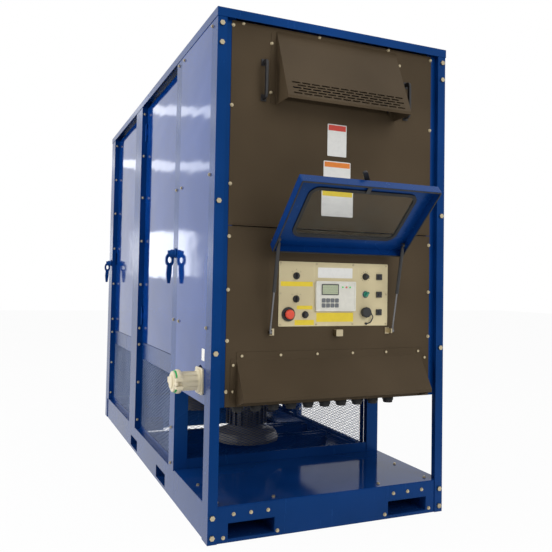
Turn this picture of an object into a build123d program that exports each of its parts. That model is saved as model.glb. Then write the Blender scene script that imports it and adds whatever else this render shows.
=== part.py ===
"""Generator load bank: a skid-based cabinet whose front bay holds the control
panel and cable connectors, and whose two rear bays hold fans and resistors.

Frame: X to the right along the front, Y from the front to the back, Z up.
The origin is at the middle of the base's underside.  Depths named *_d are
measured from the front plane towards the back.
"""
from build123d import *
from math import atan2, cos, degrees, hypot, pi, radians, sin, tan
import os

os.makedirs("parts", exist_ok=True)

# ---------------------------------------------------------------- driving sizes
width = 1118.0            # over the roof cap
length = 2700.0           # over the roof cap
height = 2134.0           # floor to the roof cap's top
sheet = 2.0               # panel steel
plate = 4.0               # post, rail and deck steel
gap = 0.3                 # clearance between pieces that seat on each other
run_gap = 0.5             # clearance of a piece that turns or slides

cap_flange = 36.0         # height of the roof cap's rim
base_height = 140.0       # base rails, floor to deck
base_flange = 50.0        # width of the rails' flanges

front_post_face = 40.0    # corner post, flange seen from the front
side_post_face = 76.0     # corner post, flange seen from the side
strip_width = 46.0        # inner strip that the front panels seat on
panel_recess = 22.0       # front panels' face behind the post face
panel_half = 490.0        # half the width of the front panels
panel_bottom = 528.0      # lower edge of the lower front panel
panel_joint = 1258.0      # joint between the two front panels

bulkhead_d = 562.0        # bulkhead posts' front flange
bulkhead_post = 93.0      # their face seen from the side
bulkhead_flange = 66.0    # their face seen from the front
mid_post_d = 1520.0       # middle posts' front edge
mid_post = 185.0          # their face seen from the side
rear_post_d = 2560.0      # rear posts' front edge
bay_recess = 32.0         # doors' outer face behind the post face
bay_joint = 660.0         # joint between a bay door and its intake panel
door_gap = 3.0            # gap round a bay door

pocket_width = 200.0      # fork pockets, clear size
pocket_height = 61.0
pocket_floor = 14.0       # steel below a pocket
pocket_wall = 4.0
front_pocket_x = 371.0    # centres of the front pockets from the middle
front_pocket_depth = 700.0
side_pocket_d = (839.0, 1555.0)

# ------------------------------------------------------------- worked-out sizes
front = -length / 2
back = length / 2
cap_skin = sheet
frame_half = width / 2 - cap_skin - gap          # posts' outer face
frame_front = front + cap_skin + gap             # posts' front face
frame_back = back - cap_skin - gap
post_top = height - cap_skin - gap
panel_top = height - cap_flange - gap
rail_half = frame_half - plate - gap             # rails' outer face, inside the posts
rail_front = frame_front + plate + gap
rail_back = frame_back - plate - gap
panel_face = front + panel_recess
strip_face = panel_face + sheet + gap
deck_top = base_height
bulkhead_y = front + bulkhead_d
mid_y = front + mid_post_d
rear_y = front + rear_post_d
door_face = frame_half - bay_recess              # |x| of the bay doors' outer face
eave = height - cap_flange                       # lower edge of the roof cap's rim


# --------------------------------------------------------------------- helpers
def block(x0, x1, y0, y1, z0, z1):
    """A rectangular solid between two corners."""
    size = Box(abs(x1 - x0), abs(y1 - y0), abs(z1 - z0))
    return Pos((x0 + x1) / 2, (y0 + y1) / 2, (z0 + z1) / 2) * size


def prism_z(points, z0, z1):
    """A closed outline in X and Y, raised from z0 to z1."""
    return Pos(0, 0, z0) * extrude(Plane.XY * make_face(Polyline(*points, close=True)), z1 - z0)


def prism_x(points, x0, x1):
    """A closed outline in Y and Z, extended from x0 to x1."""
    outline = Plane.YZ * make_face(Polyline(*points, close=True))
    return Pos(x0, 0, 0) * extrude(outline, x1 - x0)


def prism_y(points, y0, y1):
    """A closed outline in X and Z, extended from y0 to y1."""
    outline = Plane(origin=(0, y0, 0), x_dir=(1, 0, 0), z_dir=(0, -1, 0))
    return extrude(outline * make_face(Polyline(*points, close=True)), -(y1 - y0))


def rod(start, end, radius):
    """A round bar from one point to another."""
    a = Vector(*start)
    b = Vector(*end)
    return Plane(origin=a, z_dir=(b - a)) * Cylinder(
        radius, (b - a).length, align=(Align.CENTER, Align.CENTER, Align.MIN))


def turned(points, origin, direction):
    """A solid of revolution: points are (radius, distance along direction)."""
    outline = make_face(Plane.XZ * Polyline(*points, close=True))
    solid = revolve(outline, Axis.Z)
    return Plane(origin=origin, z_dir=direction) * solid


def mirror_x(solid):
    return mirror(solid, about=Plane.YZ)


def both_sides(solid):
    """A right-hand piece and its mirror image on the left."""
    return [solid, mirror_x(solid)]


def write(node, solids):
    """One STEP file; several solids stay separate inside it."""
    parts = solids if isinstance(solids, list) else [solids]
    flat = []
    for part in parts:
        flat.extend(part.solids())
    shape = flat[0] if len(flat) == 1 else Compound(children=flat)
    export_step(shape, f"parts/{node}.step")


# ------------------------------------------------------------------------ base
rail_floor = 0.0


def channel_x(x0, x1, y_face, inward):
    """A rail along X: web at y_face, flanges towards inward (+1 or -1)."""
    y1 = y_face + inward * plate
    y2 = y_face + inward * base_flange
    outline = [(y_face, rail_floor), (y2, rail_floor), (y2, rail_floor + plate), (y1, rail_floor + plate),
               (y1, base_height - plate), (y2, base_height - plate), (y2, base_height), (y_face, base_height)]
    return prism_x(outline, x0, x1)


def channel_y(y0, y1, x_face, inward):
    """A rail along Y: web at x_face, flanges towards inward (+1 or -1)."""
    x1 = x_face + inward * plate
    x2 = x_face + inward * base_flange
    outline = [(x_face, rail_floor), (x2, rail_floor), (x2, rail_floor + plate), (x1, rail_floor + plate),
               (x1, base_height - plate), (x2, base_height - plate), (x2, base_height), (x_face, base_height)]
    return prism_y(outline, y0, y1)


sleeve_half = pocket_width / 2 + pocket_wall
sleeve_low = pocket_floor - pocket_wall
sleeve_high = pocket_floor + pocket_height + pocket_wall
sleeve_slot = 0.2          # the rails' cut-outs clear the sleeves by this


def sleeve_cut_x(x):
    return block(x - sleeve_half - sleeve_slot, x + sleeve_half + sleeve_slot, front - 10, back + 10,
                 sleeve_low - sleeve_slot, sleeve_high + sleeve_slot)


def sleeve_cut_y(y):
    return block(-width, width, y - sleeve_half - sleeve_slot, y + sleeve_half + sleeve_slot,
                 sleeve_low - sleeve_slot, sleeve_high + sleeve_slot)


def end_rail(y_face, inward):
    rail = channel_x(-rail_half, rail_half, y_face, inward)
    for x in (-front_pocket_x, front_pocket_x):
        rail -= sleeve_cut_x(x)
    return rail


def side_rails():
    """Each side has a front and a rear length that meet at the bulkhead post."""
    seam = bulkhead_y
    starts = (rail_front + base_flange + gap, seam + gap)
    ends = (seam - gap, rail_back - base_flange - gap)
    rails = []
    for y0, y1 in zip(starts, ends):
        rail = channel_y(y0, y1, rail_half, -1)
        for d in side_pocket_d:
            if y0 < front + d < y1:
                rail -= sleeve_cut_y(front + d)
        rails += both_sides(rail)
    return rails


def tube_y(x, y0, y1):
    outer = block(x - sleeve_half, x + sleeve_half, y0, y1, sleeve_low, sleeve_high)
    return outer - block(x - pocket_width / 2, x + pocket_width / 2, y0 - 1, y1 + 1,
                         pocket_floor, pocket_floor + pocket_height)


def tube_x(y):
    outer = block(-rail_half, rail_half, y - sleeve_half, y + sleeve_half, sleeve_low, sleeve_high)
    return outer - block(-width, width, y - pocket_width / 2, y + pocket_width / 2,
                         pocket_floor, pocket_floor + pocket_height)


cross_member_half = 30.0
fan_d = (1087.0, 2132.0)      # the fans' centres behind the front
bay_floor_ribs_d = (bulkhead_d + 60.0, fan_d[0], 1350.0, fan_d[1])


def cross_member(y):
    """A hat-section member across the base between the side rails."""
    end = rail_half - base_flange - gap
    outer = block(-end, end, y - cross_member_half, y + cross_member_half, rail_floor, base_height - plate - gap)
    inner = block(-end - 1, end + 1, y - cross_member_half + plate, y + cross_member_half - plate,
                  rail_floor + plate, base_height)
    return outer - inner


def underframe():
    solids = []
    for x in (-front_pocket_x, front_pocket_x):
        solids.append(tube_y(x, rail_front, rail_front + front_pocket_depth))
        solids.append(tube_y(x, rail_back - front_pocket_depth, rail_back))
    for d in side_pocket_d:
        solids.append(tube_x(front + d))
    for d in bay_floor_ribs_d[1:]:
        solids.append(cross_member(front + d))
    bulkhead_member = cross_member(front + bay_floor_ribs_d[0])
    for x in (-front_pocket_x, front_pocket_x):
        bulkhead_member -= sleeve_cut_x(x)
    solids[-1] -= sleeve_cut_x(-front_pocket_x) + sleeve_cut_x(front_pocket_x)
    solids.append(bulkhead_member)
    return solids


# ----------------------------------------------------------------------- posts
def corner_post():
    """Front corner post, right-hand: an angle with an inner strip set back."""
    x0 = frame_half
    x1 = frame_half - front_post_face
    x2 = x1 - strip_width
    y0 = frame_front
    y1 = strip_face
    outline = [(x0, y0), (x0, y0 + side_post_face), (x0 - plate, y0 + side_post_face), (x0 - plate, y0 + plate),
               (x1 + plate, y0 + plate), (x1 + plate, y1 + plate), (x2, y1 + plate), (x2, y1),
               (x1, y1), (x1, y0)]
    post = prism_z(outline, rail_floor, post_top)
    # below the lower front panel only the angle goes on to the floor
    post -= block(x2 - 1, x1 + plate + 0.01, y0 + plate, y1 + plate + 1, rail_floor - 1, panel_bottom)
    return post - block(x2 - 1, x1, y0 - 1, y1 + plate + 1, rail_floor - 1, panel_bottom)


def bulkhead_post_solid():
    x0 = frame_half
    y0 = bulkhead_y
    outline = [(x0, y0), (x0, y0 + bulkhead_post), (x0 - plate, y0 + bulkhead_post), (x0 - plate, y0 + plate),
               (x0 - bulkhead_flange, y0 + plate), (x0 - bulkhead_flange, y0)]
    return prism_z(outline, base_height + gap, post_top)


def mid_post_solid():
    """Two bay frames bolted back to back read as one wide channel post."""
    x0 = frame_half
    x1 = frame_half - bay_recess - 30.0
    y0 = mid_y
    y1 = mid_y + mid_post
    outline = [(x0, y0), (x0, y1), (x1, y1), (x1, y1 - plate), (x0 - plate, y1 - plate),
               (x0 - plate, y0 + plate), (x1, y0 + plate), (x1, y0)]
    return prism_z(outline, base_height + gap, post_top)


def rear_post_solid():
    x0 = frame_half
    x1 = frame_half - bay_recess - 30.0
    y0 = rear_y
    y1 = frame_back
    outline = [(x0, y0), (x0, y1), (x1 - 20, y1), (x1 - 20, y1 - plate), (x0 - plate, y1 - plate),
               (x0 - plate, y0 + plate), (x1, y0 + plate), (x1, y0)]
    post = prism_z(outline, base_height + gap, post_top)
    foot = block(x0 - plate, x0, rail_back - side_post_face, y1, rail_floor, base_height + gap)
    return post + foot


# hinges of the four bay doors
hinge_radius = 6.0
hinge_pin = 3.0
knuckle = 36.0
hinge_heights = (820.0, 1940.0)
hinge_out = hinge_radius + 1.0       # pin stands this far outside the door's face
hinge_x = door_face + hinge_out


def bay_hinge_fixed(y_post, direction):
    """Two knuckles, their pin and a leaf on the middle post (right-hand)."""
    y_pin = y_post + direction * (hinge_radius + 1.5)
    solids = []
    for z in hinge_heights:
        barrel = rod((hinge_x, y_pin, z - 1.5 * knuckle), (hinge_x, y_pin, z - 0.5 * knuckle - run_gap), hinge_radius)
        barrel += rod((hinge_x, y_pin, z + 0.5 * knuckle + run_gap), (hinge_x, y_pin, z + 1.5 * knuckle), hinge_radius)
        barrel += rod((hinge_x, y_pin, z - 1.5 * knuckle), (hinge_x, y_pin, z + 1.5 * knuckle), hinge_pin)
        for z0, z1 in ((z - 1.5 * knuckle, z - 0.5 * knuckle - run_gap), (z + 0.5 * knuckle + run_gap, z + 1.5 * knuckle)):
            barrel += block(hinge_x - 3, hinge_x + 3, y_pin, y_post, z0, z1)
        solids.append(barrel)
    return solids


def side_posts():
    mid = mid_post_solid()
    for y_post, direction in ((mid_y, -1), (mid_y + mid_post, 1)):
        for solid in bay_hinge_fixed(y_post, direction):
            mid += solid
    solids = []
    bore = run_gap
    front_post = bulkhead_post_solid()
    front_post -= rod((0, lever_front_y, lever_z), (width, lever_front_y, lever_z), lever_spindle + bore)
    rear_post = rear_post_solid()
    rear_post -= rod((0, lever_rear_y, lever_z), (width, lever_rear_y, lever_z), lever_spindle + bore)
    rear_post -= block(door_face - 1, door_face + cam_thick + 3, rear_y - 1, rear_y + plate + 1,
                       lever_z - 14, lever_z + cam_length + 4)
    for solid in (front_post, mid, rear_post):
        solids += both_sides(solid)
    return solids


# ------------------------------------------------------------------- bay doors
def bay_door(y0, y1, hinge_at_front):
    """A recessed pan door, right-hand side, with its hinge knuckles."""
    x_out = door_face
    ya = y0 + door_gap
    yb = y1 - door_gap
    za = bay_joint + door_gap / 2
    zb = eave - 8.0
    rim = 22.0
    pan = block(x_out - rim, x_out, ya, yb, za, zb)
    pan -= block(x_out - rim - 1, x_out - sheet, ya + sheet, yb - sheet, za + sheet, zb - sheet)
    y_pin = (y0 + hinge_radius + 1.5) if hinge_at_front else (y1 - hinge_radius - 1.5)
    for z in hinge_heights:
        barrel = rod((hinge_x, y_pin, z - knuckle / 2), (hinge_x, y_pin, z + knuckle / 2), hinge_radius)
        reach = y_pin + (24.0 if hinge_at_front else -24.0)
        leaf = block(door_face, door_face + 2.5, min(y_pin, reach), max(y_pin, reach), z - knuckle / 2, z + knuckle / 2)
        web = block(door_face, hinge_x, y_pin - 1.5, y_pin + 1.5, z - knuckle / 2, z + knuckle / 2)
        pan += barrel + leaf + web
        pan -= rod((hinge_x, y_pin, z - knuckle), (hinge_x, y_pin, z + knuckle), hinge_pin + 0.1)
    return pan


bay_front = (bulkhead_y + bulkhead_post, mid_y)
bay_rear = (mid_y + mid_post, rear_y)


def intake_panel(y0, y1):
    """Fixed lower panel: a framed expanded-metal screen, right-hand side."""
    mesh_low = 165.0
    mesh_high = 562.0
    edge = 30.0
    ya = y0 + gap
    yb = y1 - gap
    pan = block(door_face - 22.0, door_face, ya, yb, base_height + gap, bay_joint - door_gap / 2)
    pan -= block(door_face - 23.0, door_face - sheet, ya + sheet, yb - sheet,
                 base_height + gap + sheet, bay_joint - door_gap / 2 - sheet)
    pan -= block(door_face - 40.0, door_face + 1, ya + edge, yb - edge, mesh_low, mesh_high)
    screen = block(door_face - sheet - gap - 1.6, door_face - sheet - gap, ya + sheet + gap, yb - sheet - gap,
                   mesh_low - 12, mesh_high + 12)
    return [pan, screen]


# --------------------------------------------------------- padlockable levers
lever_z = 1165.0
lever_spindle = 8.0
lever_front_y = bulkhead_y + 48.0
lever_rear_y = rear_y + 42.0
lever_reach = 86.0          # stands this far out from the post face
cam_length = 72.0
cam_thick = 4.0


def lever(y, towards):
    """Lever handle with a padlock eye, spindle and inner cam (right-hand side).

    At rest the lever hangs down and the cam stands up behind the post;
    a quarter turn swings the cam over the door's edge.
    """
    x0 = frame_half + run_gap
    hub = turned([(0, 0), (24, 0), (24, 6), (17, 14), (17, 34), (0, 34)], (x0, y, lever_z), (1, 0, 0))
    eye_x = x0 + 46.0
    eye = rod((eye_x, y - 9, lever_z - 34), (eye_x, y + 9, lever_z - 34), 33.0)
    tail = prism_y([(x0 + 26, lever_z - 40), (x0 + 64, lever_z - 40), (x0 + 70, lever_z - 100),
                    (x0 + 62, lever_z - 146), (x0 + 40, lever_z - 146), (x0 + 30, lever_z - 100)], y - 9, y + 9)
    handle = hub + rod((x0, y, lever_z), (x0 + 40, y, lever_z), 16) + eye + tail
    handle += block(x0 + 14, x0 + 60, y - 9, y + 9, lever_z - 30, lever_z + 12)
    handle -= rod((eye_x, y - 20, lever_z - 34), (eye_x, y + 20, lever_z - 34), 15.0)
    cam_x = door_face + 1.0
    spindle = rod((cam_x, y, lever_z), (x0 + 1, y, lever_z), lever_spindle)
    cam = block(cam_x, cam_x + cam_thick, y - 10, y + 10, lever_z - 10, lever_z + cam_length)
    return handle + spindle + cam


# ------------------------------------------------------------------------ roof
grille_margin = 70.0


def roof_openings():
    """The two exhaust openings over the resistor bays."""
    x = frame_half - grille_margin
    return [(-x, x, bay_front[0] + 20, bay_front[1] - 20), (-x, x, bay_rear[0] + 20, bay_rear[1] - 20)]


def roof_cap():
    cap = block(-width / 2, width / 2, front, back, eave, height)
    cap -= block(-width / 2 + cap_skin, width / 2 - cap_skin, front + cap_skin, back - cap_skin,
                 eave - 1, height - cap_skin)
    for x0, x1, y0, y1 in roof_openings():
        cap -= block(x0, x1, y0, y1, eave, height + 1)
    return cap


grille_bars = 14


def exhaust_grilles():
    """A frame with cross bars under each roof opening."""
    solids = []
    z1 = height - cap_skin - gap
    z0 = z1 - 22.0
    for x0, x1, y0, y1 in roof_openings():
        frame = block(x0 - 18, x1 + 18, y0 - 18, y1 + 18, z0, z1) - block(x0, x1, y0, y1, z0 - 1, z1 + 1)
        for i in range(1, grille_bars):
            y = y0 + (y1 - y0) * i / grille_bars
            frame += block(x0 - 5, x1 + 5, y - 1.5, y + 1.5, z0, z1)
        solids.append(frame)
    return solids


# ---------------------------------------------------------------- front panels
vent_half = 270.0
vent_low = 1790.0
vent_high = 2040.0
control_hole_half = 240.0
control_low = 848.0
control_high = 1120.0


def front_panel_upper():
    face = block(-panel_half, panel_half, panel_face, panel_face + sheet, panel_joint + 1.5, panel_top)
    lip = block(-panel_half + 20, panel_half - 20, panel_face - 8, panel_face, panel_joint + 1.5, panel_joint + 3.5)
    vent = block(-vent_half, vent_half, panel_face - 1, panel_face + sheet + 1, vent_low, vent_high)
    return face + lip - vent


connector_hole_half = 420.0


def front_panel_lower():
    face = block(-panel_half, panel_half, panel_face, panel_face + sheet, panel_bottom, panel_joint - 1.5)
    hole = block(-control_hole_half, control_hole_half, panel_face - 1, panel_face + sheet + 1,
                 control_low + 20, control_high - 20)
    return face - hole


def grab_handle(x):
    """A black bridge handle on the upper panel."""
    y0 = panel_face - gap
    z0 = 1782.0
    z1 = 1954.0
    path = FilletPolyline((x, y0, z0 + 12), (x, y0 - 34, z0 + 12), (x, y0 - 34, z1 - 12), (x, y0, z1 - 12), radius=14)
    grip = sweep(Plane(origin=path @ 0, z_dir=path % 0) * RectangleRounded(18, 12, 4), path=path)
    for z in (z0 + 12, z1 - 12):
        grip += block(x - 12, x + 12, y0 - 4, y0, z - 14, z + 14)
    return grip


# ------------------------------------------------------------------ vent hood
hood_half = 293.0
hood_top = 2085.0
hood_bottom = 1771.0
hood_depth = 132.0
slot_rows = 5
slot_columns = 12


def vent_hood():
    """Sloped rain hood with five staggered rows of slots above its lip."""
    y0 = panel_face - gap
    y1 = y0 - hood_depth
    outline = [(y0, hood_top), (y1, hood_bottom + 12), (y1, hood_bottom), (y0, hood_bottom)]
    hood = prism_x(outline, -hood_half, hood_half)
    inner = [(y0 + 1, hood_top - 6.0), (y0 - 0.001, hood_top - 6.0), (y1 + sheet, hood_bottom + 12 - 0.2),
             (y1 + sheet, hood_bottom - 1), (y0 + 1, hood_bottom - 1)]
    hood -= prism_x(inner, -hood_half + sheet, hood_half - sheet)
    run = hypot(hood_depth, hood_top - hood_bottom - 12)
    normal = (0, -(hood_top - hood_bottom - 12) / run, hood_depth / run)
    face = Plane(origin=(0, y1, hood_bottom + 12), x_dir=(1, 0, 0), z_dir=normal)
    cuts = []
    pitch_x = 2 * (hood_half - 24) / slot_columns
    for row in range(slot_rows):
        shift = pitch_x / 2 if row % 2 else 0.0
        for column in range(slot_columns - (row % 2)):
            x = -hood_half + 24 + pitch_x * (column + 0.5) + shift
            cuts.append(Pos(x, 14 + 13.5 * row) * Rectangle(pitch_x - 8, 7))
    slots = extrude(face * Sketch(children=cuts), amount=12, both=True)
    hood -= slots
    for sign in (-1, 1):
        hood += block(sign * hood_half, sign * (hood_half + 24), y0 - sheet, y0, hood_bottom + 6, hood_top - 12)
    return hood


def vent_screen():
    """Louvred weather screen in the panel's vent opening, under the hood."""
    half = vent_half + 12
    frame = block(-half, half, panel_face + sheet + gap, panel_face + sheet + gap + 3, vent_low - 12, vent_high + 12)
    blades = 7
    step = (vent_high - vent_low) / blades
    frame -= block(-vent_half + 8, vent_half - 8, front, front + 80, vent_low + 8, vent_high - 8)
    y0 = panel_face + sheet + gap
    for i in range(blades):
        z = vent_low + step * i + 6
        frame += prism_x([(y0, z), (y0 + 2, z), (y0 + 16, z + step * 0.7), (y0 + 14, z + step * 0.7)],
                         -vent_half + 7, vent_half - 7)
    return frame


# --------------------------------------------------------- connector hood, plate
awning_half = 443.0
awning_top = 716.0
awning_lip = 558.0
awning_depth = 92.0


def connector_hood():
    """Open-bottomed awning with cheeks and a bolted top flange."""
    y0 = panel_face - gap
    y1 = y0 - awning_depth
    lip = 14.0
    outer = [(y0, awning_top), (y1, awning_lip + lip), (y1, awning_lip), (y0, panel_bottom + 2)]
    hood = prism_x(outer, -awning_half, awning_half)
    inner = [(y0 + 1, awning_top - 4), (y0, awning_top - 4), (y1 + sheet, awning_lip + lip - 1),
             (y1 + sheet, awning_lip - 20), (y0, panel_bottom - 10), (y0 + 1, panel_bottom - 10)]
    hood -= prism_x(inner, -awning_half + sheet, awning_half - sheet)
    hood += block(-awning_half, awning_half, y0 - sheet, y0, awning_top - 4, awning_top + 30)
    for sign in (-1, 1):
        hood += block(sign * awning_half, sign * (awning_half + 26), y0 - sheet, y0, panel_bottom + 30, awning_top)
    return hood


connector_count = 10
connector_pitch = 84.0
connector_y = front + 186.0
connector_plate_z = 548.0
connector_radius = 25.0


def connector_positions():
    start = -(connector_count - 1) / 2 * connector_pitch
    return [start + i * connector_pitch for i in range(connector_count)]


def connector_plate():
    """Shelf behind the lower panel that carries the cable connectors."""
    y0 = strip_face + plate + gap
    y1 = bulkhead_y - gap
    shelf = block(-panel_half, panel_half, y0, connector_y + 70, connector_plate_z, connector_plate_z + plate)
    shelf += block(-panel_half, panel_half, y0, y0 + plate, connector_plate_z, connector_plate_z + 40)
    for x in connector_positions():
        shelf -= rod((x, connector_y, connector_plate_z - 1), (x, connector_y, connector_plate_z + plate + 1),
                     connector_radius - 5 + gap)
    return shelf


def cable_connectors():
    """Single-pole panel receptacles facing down, each open at its mouth."""
    solids = []
    for x in connector_positions():
        z = connector_plate_z - gap
        body = [(9, -52), (connector_radius - 4, -52), (connector_radius, -46), (connector_radius, -14),
                (connector_radius + 5, -12), (connector_radius + 5, 0), (connector_radius - 5, 0),
                (connector_radius - 5, 34), (10, 34), (10, 60), (0, 60), (0, -40), (9, -40)]
        solids.append(turned(body, (x, connector_y, z), (0, 0, 1)))
    return solids


# ----------------------------------------------------------------- side panels
side_panel_low = 533.0
receptacle_d = 142.0
receptacle_z = 640.0
receptacle_radius = 53.0


def side_panel(right):
    """Flush bolted panel of the control bay, joggled behind the corner post."""
    inner = frame_half - plate - gap
    y0 = frame_front + plate + gap
    y_step = frame_front + side_post_face + gap
    y1 = bulkhead_y - gap
    outline = [(inner, y0), (inner, y_step), (frame_half, y_step), (frame_half, y1), (frame_half - sheet, y1),
               (frame_half - sheet, y_step + sheet), (inner - sheet, y_step + sheet), (inner - sheet, y0)]
    panel = prism_z(outline, side_panel_low, panel_top)
    if right:
        return panel
    panel = mirror_x(panel)
    y = front + receptacle_d
    return panel - rod((-width, y, receptacle_z), (0, y, receptacle_z), receptacle_radius - 8 + gap)


def receptacle_body():
    """Pin-and-sleeve inlet on the left side: flange, ribbed barrel, mouth."""
    x0 = -frame_half - gap
    y = front + receptacle_d
    barrel = [(0, -30), (receptacle_radius - 8, -30), (receptacle_radius - 8, 0), (receptacle_radius + 14, 0),
              (receptacle_radius + 14, 10), (receptacle_radius - 3, 14), (receptacle_radius - 3, 96),
              (receptacle_radius + 8, 100), (receptacle_radius + 8, 122), (receptacle_radius - 4, 122),
              (receptacle_radius - 4, 70), (0, 70)]
    body = turned(barrel, (x0, y, receptacle_z), (-1, 0, 0))
    pins = 4
    for i in range(pins):
        angle = 2 * pi * i / pins + pi / 4
        py = y + 24 * cos(angle)
        pz = receptacle_z + 24 * sin(angle)
        body += rod((x0 - 66, py, pz), (x0 - 112, py, pz), 6)
    ribs = 8
    for i in range(ribs):
        angle = 2 * pi * i / ribs
        rib = block(x0 - 98, x0 - 12, -2.5, 2.5, receptacle_radius - 6, receptacle_radius + 3)
        body += Pos(0, y, receptacle_z) * Rot(degrees(angle), 0, 0) * rib
    hinge_y = y - receptacle_radius - 16
    body += block(x0 - 122, x0 - 104, hinge_y - 5, y - receptacle_radius, receptacle_z - 22, receptacle_z - 9)
    body += block(x0 - 122, x0 - 104, hinge_y - 5, y - receptacle_radius, receptacle_z + 9, receptacle_z + 22)
    body += rod((cap_pin_x, hinge_y, receptacle_z - 24), (cap_pin_x, hinge_y, receptacle_z + 24), 3.0)
    return body


cap_pin_x = -frame_half - gap - 116.0


def receptacle_cap():
    """Spring cover of the inlet, hinged at its front edge."""
    x0 = -frame_half - gap - 122.0 - gap
    y = front + receptacle_d
    hinge_y = y - receptacle_radius - 16
    cap = turned([(0, 0), (receptacle_radius + 10, 0), (receptacle_radius + 10, 22), (receptacle_radius + 2, 32),
                  (receptacle_radius - 20, 38), (0, 38)], (x0, y, receptacle_z), (-1, 0, 0))
    arm = block(x0 - 12, x0, hinge_y - 2, y - receptacle_radius + 6, receptacle_z - 8, receptacle_z + 8)
    arm += block(x0 - 12, cap_pin_x, hinge_y - 7, hinge_y + 7, receptacle_z - 8, receptacle_z + 8)
    arm += rod((cap_pin_x, hinge_y, receptacle_z - 8), (cap_pin_x, hinge_y, receptacle_z + 8), 7.0)
    arm -= rod((cap_pin_x, hinge_y, receptacle_z - 9), (cap_pin_x, hinge_y, receptacle_z + 9), 3.1)
    return cap + arm


# ---------------------------------------------------------------- control door
door_center = -15.0           # the door sits a little left of the middle
door_half = 311.0
door_length = 378.0
door_depth = 37.0             # pan depth
door_pin_out = 20.0           # hinge pin, outward of the post's front plane
door_pin_z = 1178.0
door_pin_radius = 3.0
door_knuckle_radius = 5.5
door_open = 132.0             # opening angle at rest
window_half = 238.0
window_near = 74.0            # window edges, measured from the pin
window_far = 322.0
window_radius = 36.0
gasket_width = 14.0
door_hinge_offset = 255.0     # hinges, from the door's middle
door_hinge_half = 30.0
door_skin_y = front - door_pin_out + 1.0   # outer face when closed
door_top_z = door_pin_z - door_knuckle_radius - 1.0
door_low_z = door_pin_z - door_length


def opened(solid):
    """Turns a control-door piece from its closed place to its open rest."""
    pin = Axis((0, front - door_pin_out, door_pin_z), (1, 0, 0))
    return solid.rotate(pin, -door_open)


def closed_point(s, t):
    """Closed place of a point s below the pin and t inside the outer face."""
    return (front - door_pin_out + t, door_pin_z - s)


def opened_point(s, t):
    y, z = closed_point(s, t)
    dy = y - (front - door_pin_out)
    dz = z - door_pin_z
    a = radians(-door_open)
    return (front - door_pin_out + dy * cos(a) - dz * sin(a), door_pin_z + dy * sin(a) + dz * cos(a))


def rounded_ring(half_x, z0, z1, corner, wall, y0, y1):
    """A rounded-rectangle ring in X and Z between two depths."""
    middle = (z0 + z1) / 2
    base = Plane(origin=(door_center, y0, middle), x_dir=(1, 0, 0), z_dir=(0, -1, 0))
    outer = RectangleRounded(2 * half_x, z1 - z0, corner)
    inner = RectangleRounded(2 * (half_x - wall), z1 - z0 - 2 * wall, corner - wall)
    return extrude(base * (outer - inner), -(y1 - y0))


def rounded_plate(half_x, z0, z1, corner, y0, y1):
    middle = (z0 + z1) / 2
    base = Plane(origin=(door_center, y0, middle), x_dir=(1, 0, 0), z_dir=(0, -1, 0))
    return extrude(base * RectangleRounded(2 * half_x, z1 - z0, corner), -(y1 - y0))


window_low_z = door_pin_z - window_far
window_high_z = door_pin_z - window_near


def control_door():
    y0 = door_skin_y
    y1 = y0 + door_depth
    x0 = door_center - door_half
    x1 = door_center + door_half
    pan = block(x0, x1, y0, y1, door_low_z, door_top_z)
    pan = fillet(pan.edges().filter_by(Axis.Y), 4.0)
    inner = block(x0 + sheet, x1 - sheet, y0 + sheet, y1 + 1, door_low_z + sheet, door_top_z - sheet)
    pan -= fillet(inner.edges().filter_by(Axis.Y), 2.0)
    pan -= rounded_plate(window_half, window_low_z, window_high_z, window_radius, y0 - 1, y0 + sheet + 1)
    pin_y = front - door_pin_out
    for x in (door_center - door_hinge_offset, door_center + door_hinge_offset):
        pan += rod((x - 12, pin_y, door_pin_z), (x + 12, pin_y, door_pin_z), door_knuckle_radius)
        pan += block(x - 12, x + 12, y0, y0 + sheet + 1, door_top_z - 22, door_pin_z - 2)
        pan -= rod((x - 20, pin_y, door_pin_z), (x + 20, pin_y, door_pin_z), door_pin_radius + 0.1)
    y_stud, z_stud = closed_point(strut_s, strut_t)
    for sign in (-1, 1):
        x_wall = door_center + sign * (door_half - sheet)
        x_face = door_center + sign * (strut_offset + tube_radius + run_gap)
        x_tip = door_center + sign * (strut_offset - eye_half)
        pan += block(min(x_wall, x_face), max(x_wall, x_face), y_stud - 9, y_stud + 9, z_stud - 12, z_stud + 12)
        pan += rod((x_face, y_stud, z_stud), (x_tip, y_stud, z_stud), stud_radius)
    pan -= rod((door_center, y0 - 1, latch_z), (door_center, y0 + sheet + 1, latch_z), latch_spindle + run_gap)
    return opened(pan)


def window_gasket():
    """Rubber section that grips the pan's sheet and the pane all round."""
    y0 = door_skin_y
    half = window_half + gasket_width / 2
    z0 = window_low_z - gasket_width / 2
    z1 = window_high_z + gasket_width / 2
    corner = window_radius + gasket_width / 2
    ring = rounded_ring(half, z0, z1, corner, gasket_width, y0 - 4, y0 - gap)
    ring += rounded_ring(half, z0, z1, corner, gasket_width, y0 + sheet + gap, y0 + sheet + 5)
    ring += rounded_ring(window_half - gap, window_low_z + gap, window_high_z - gap, window_radius - gap,
                         4.0, y0 - 4, y0 + sheet + 5)
    return opened(ring)


def door_seal():
    """Bulb seal on the pan's open edge."""
    y0 = door_skin_y + door_depth + gap
    return opened(rounded_ring(door_half - 1, door_low_z + 1, door_top_z - 1, 5.0, 4.5, y0, panel_face - run_gap))


def window_pane():
    y0 = door_skin_y
    inset = 4.0 + 2 * gap
    return opened(rounded_plate(window_half - inset, window_low_z + inset, window_high_z - inset,
                                window_radius - inset, y0, y0 + sheet))


latch_spindle = 6.0
latch_z = door_low_z + 27.0


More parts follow.
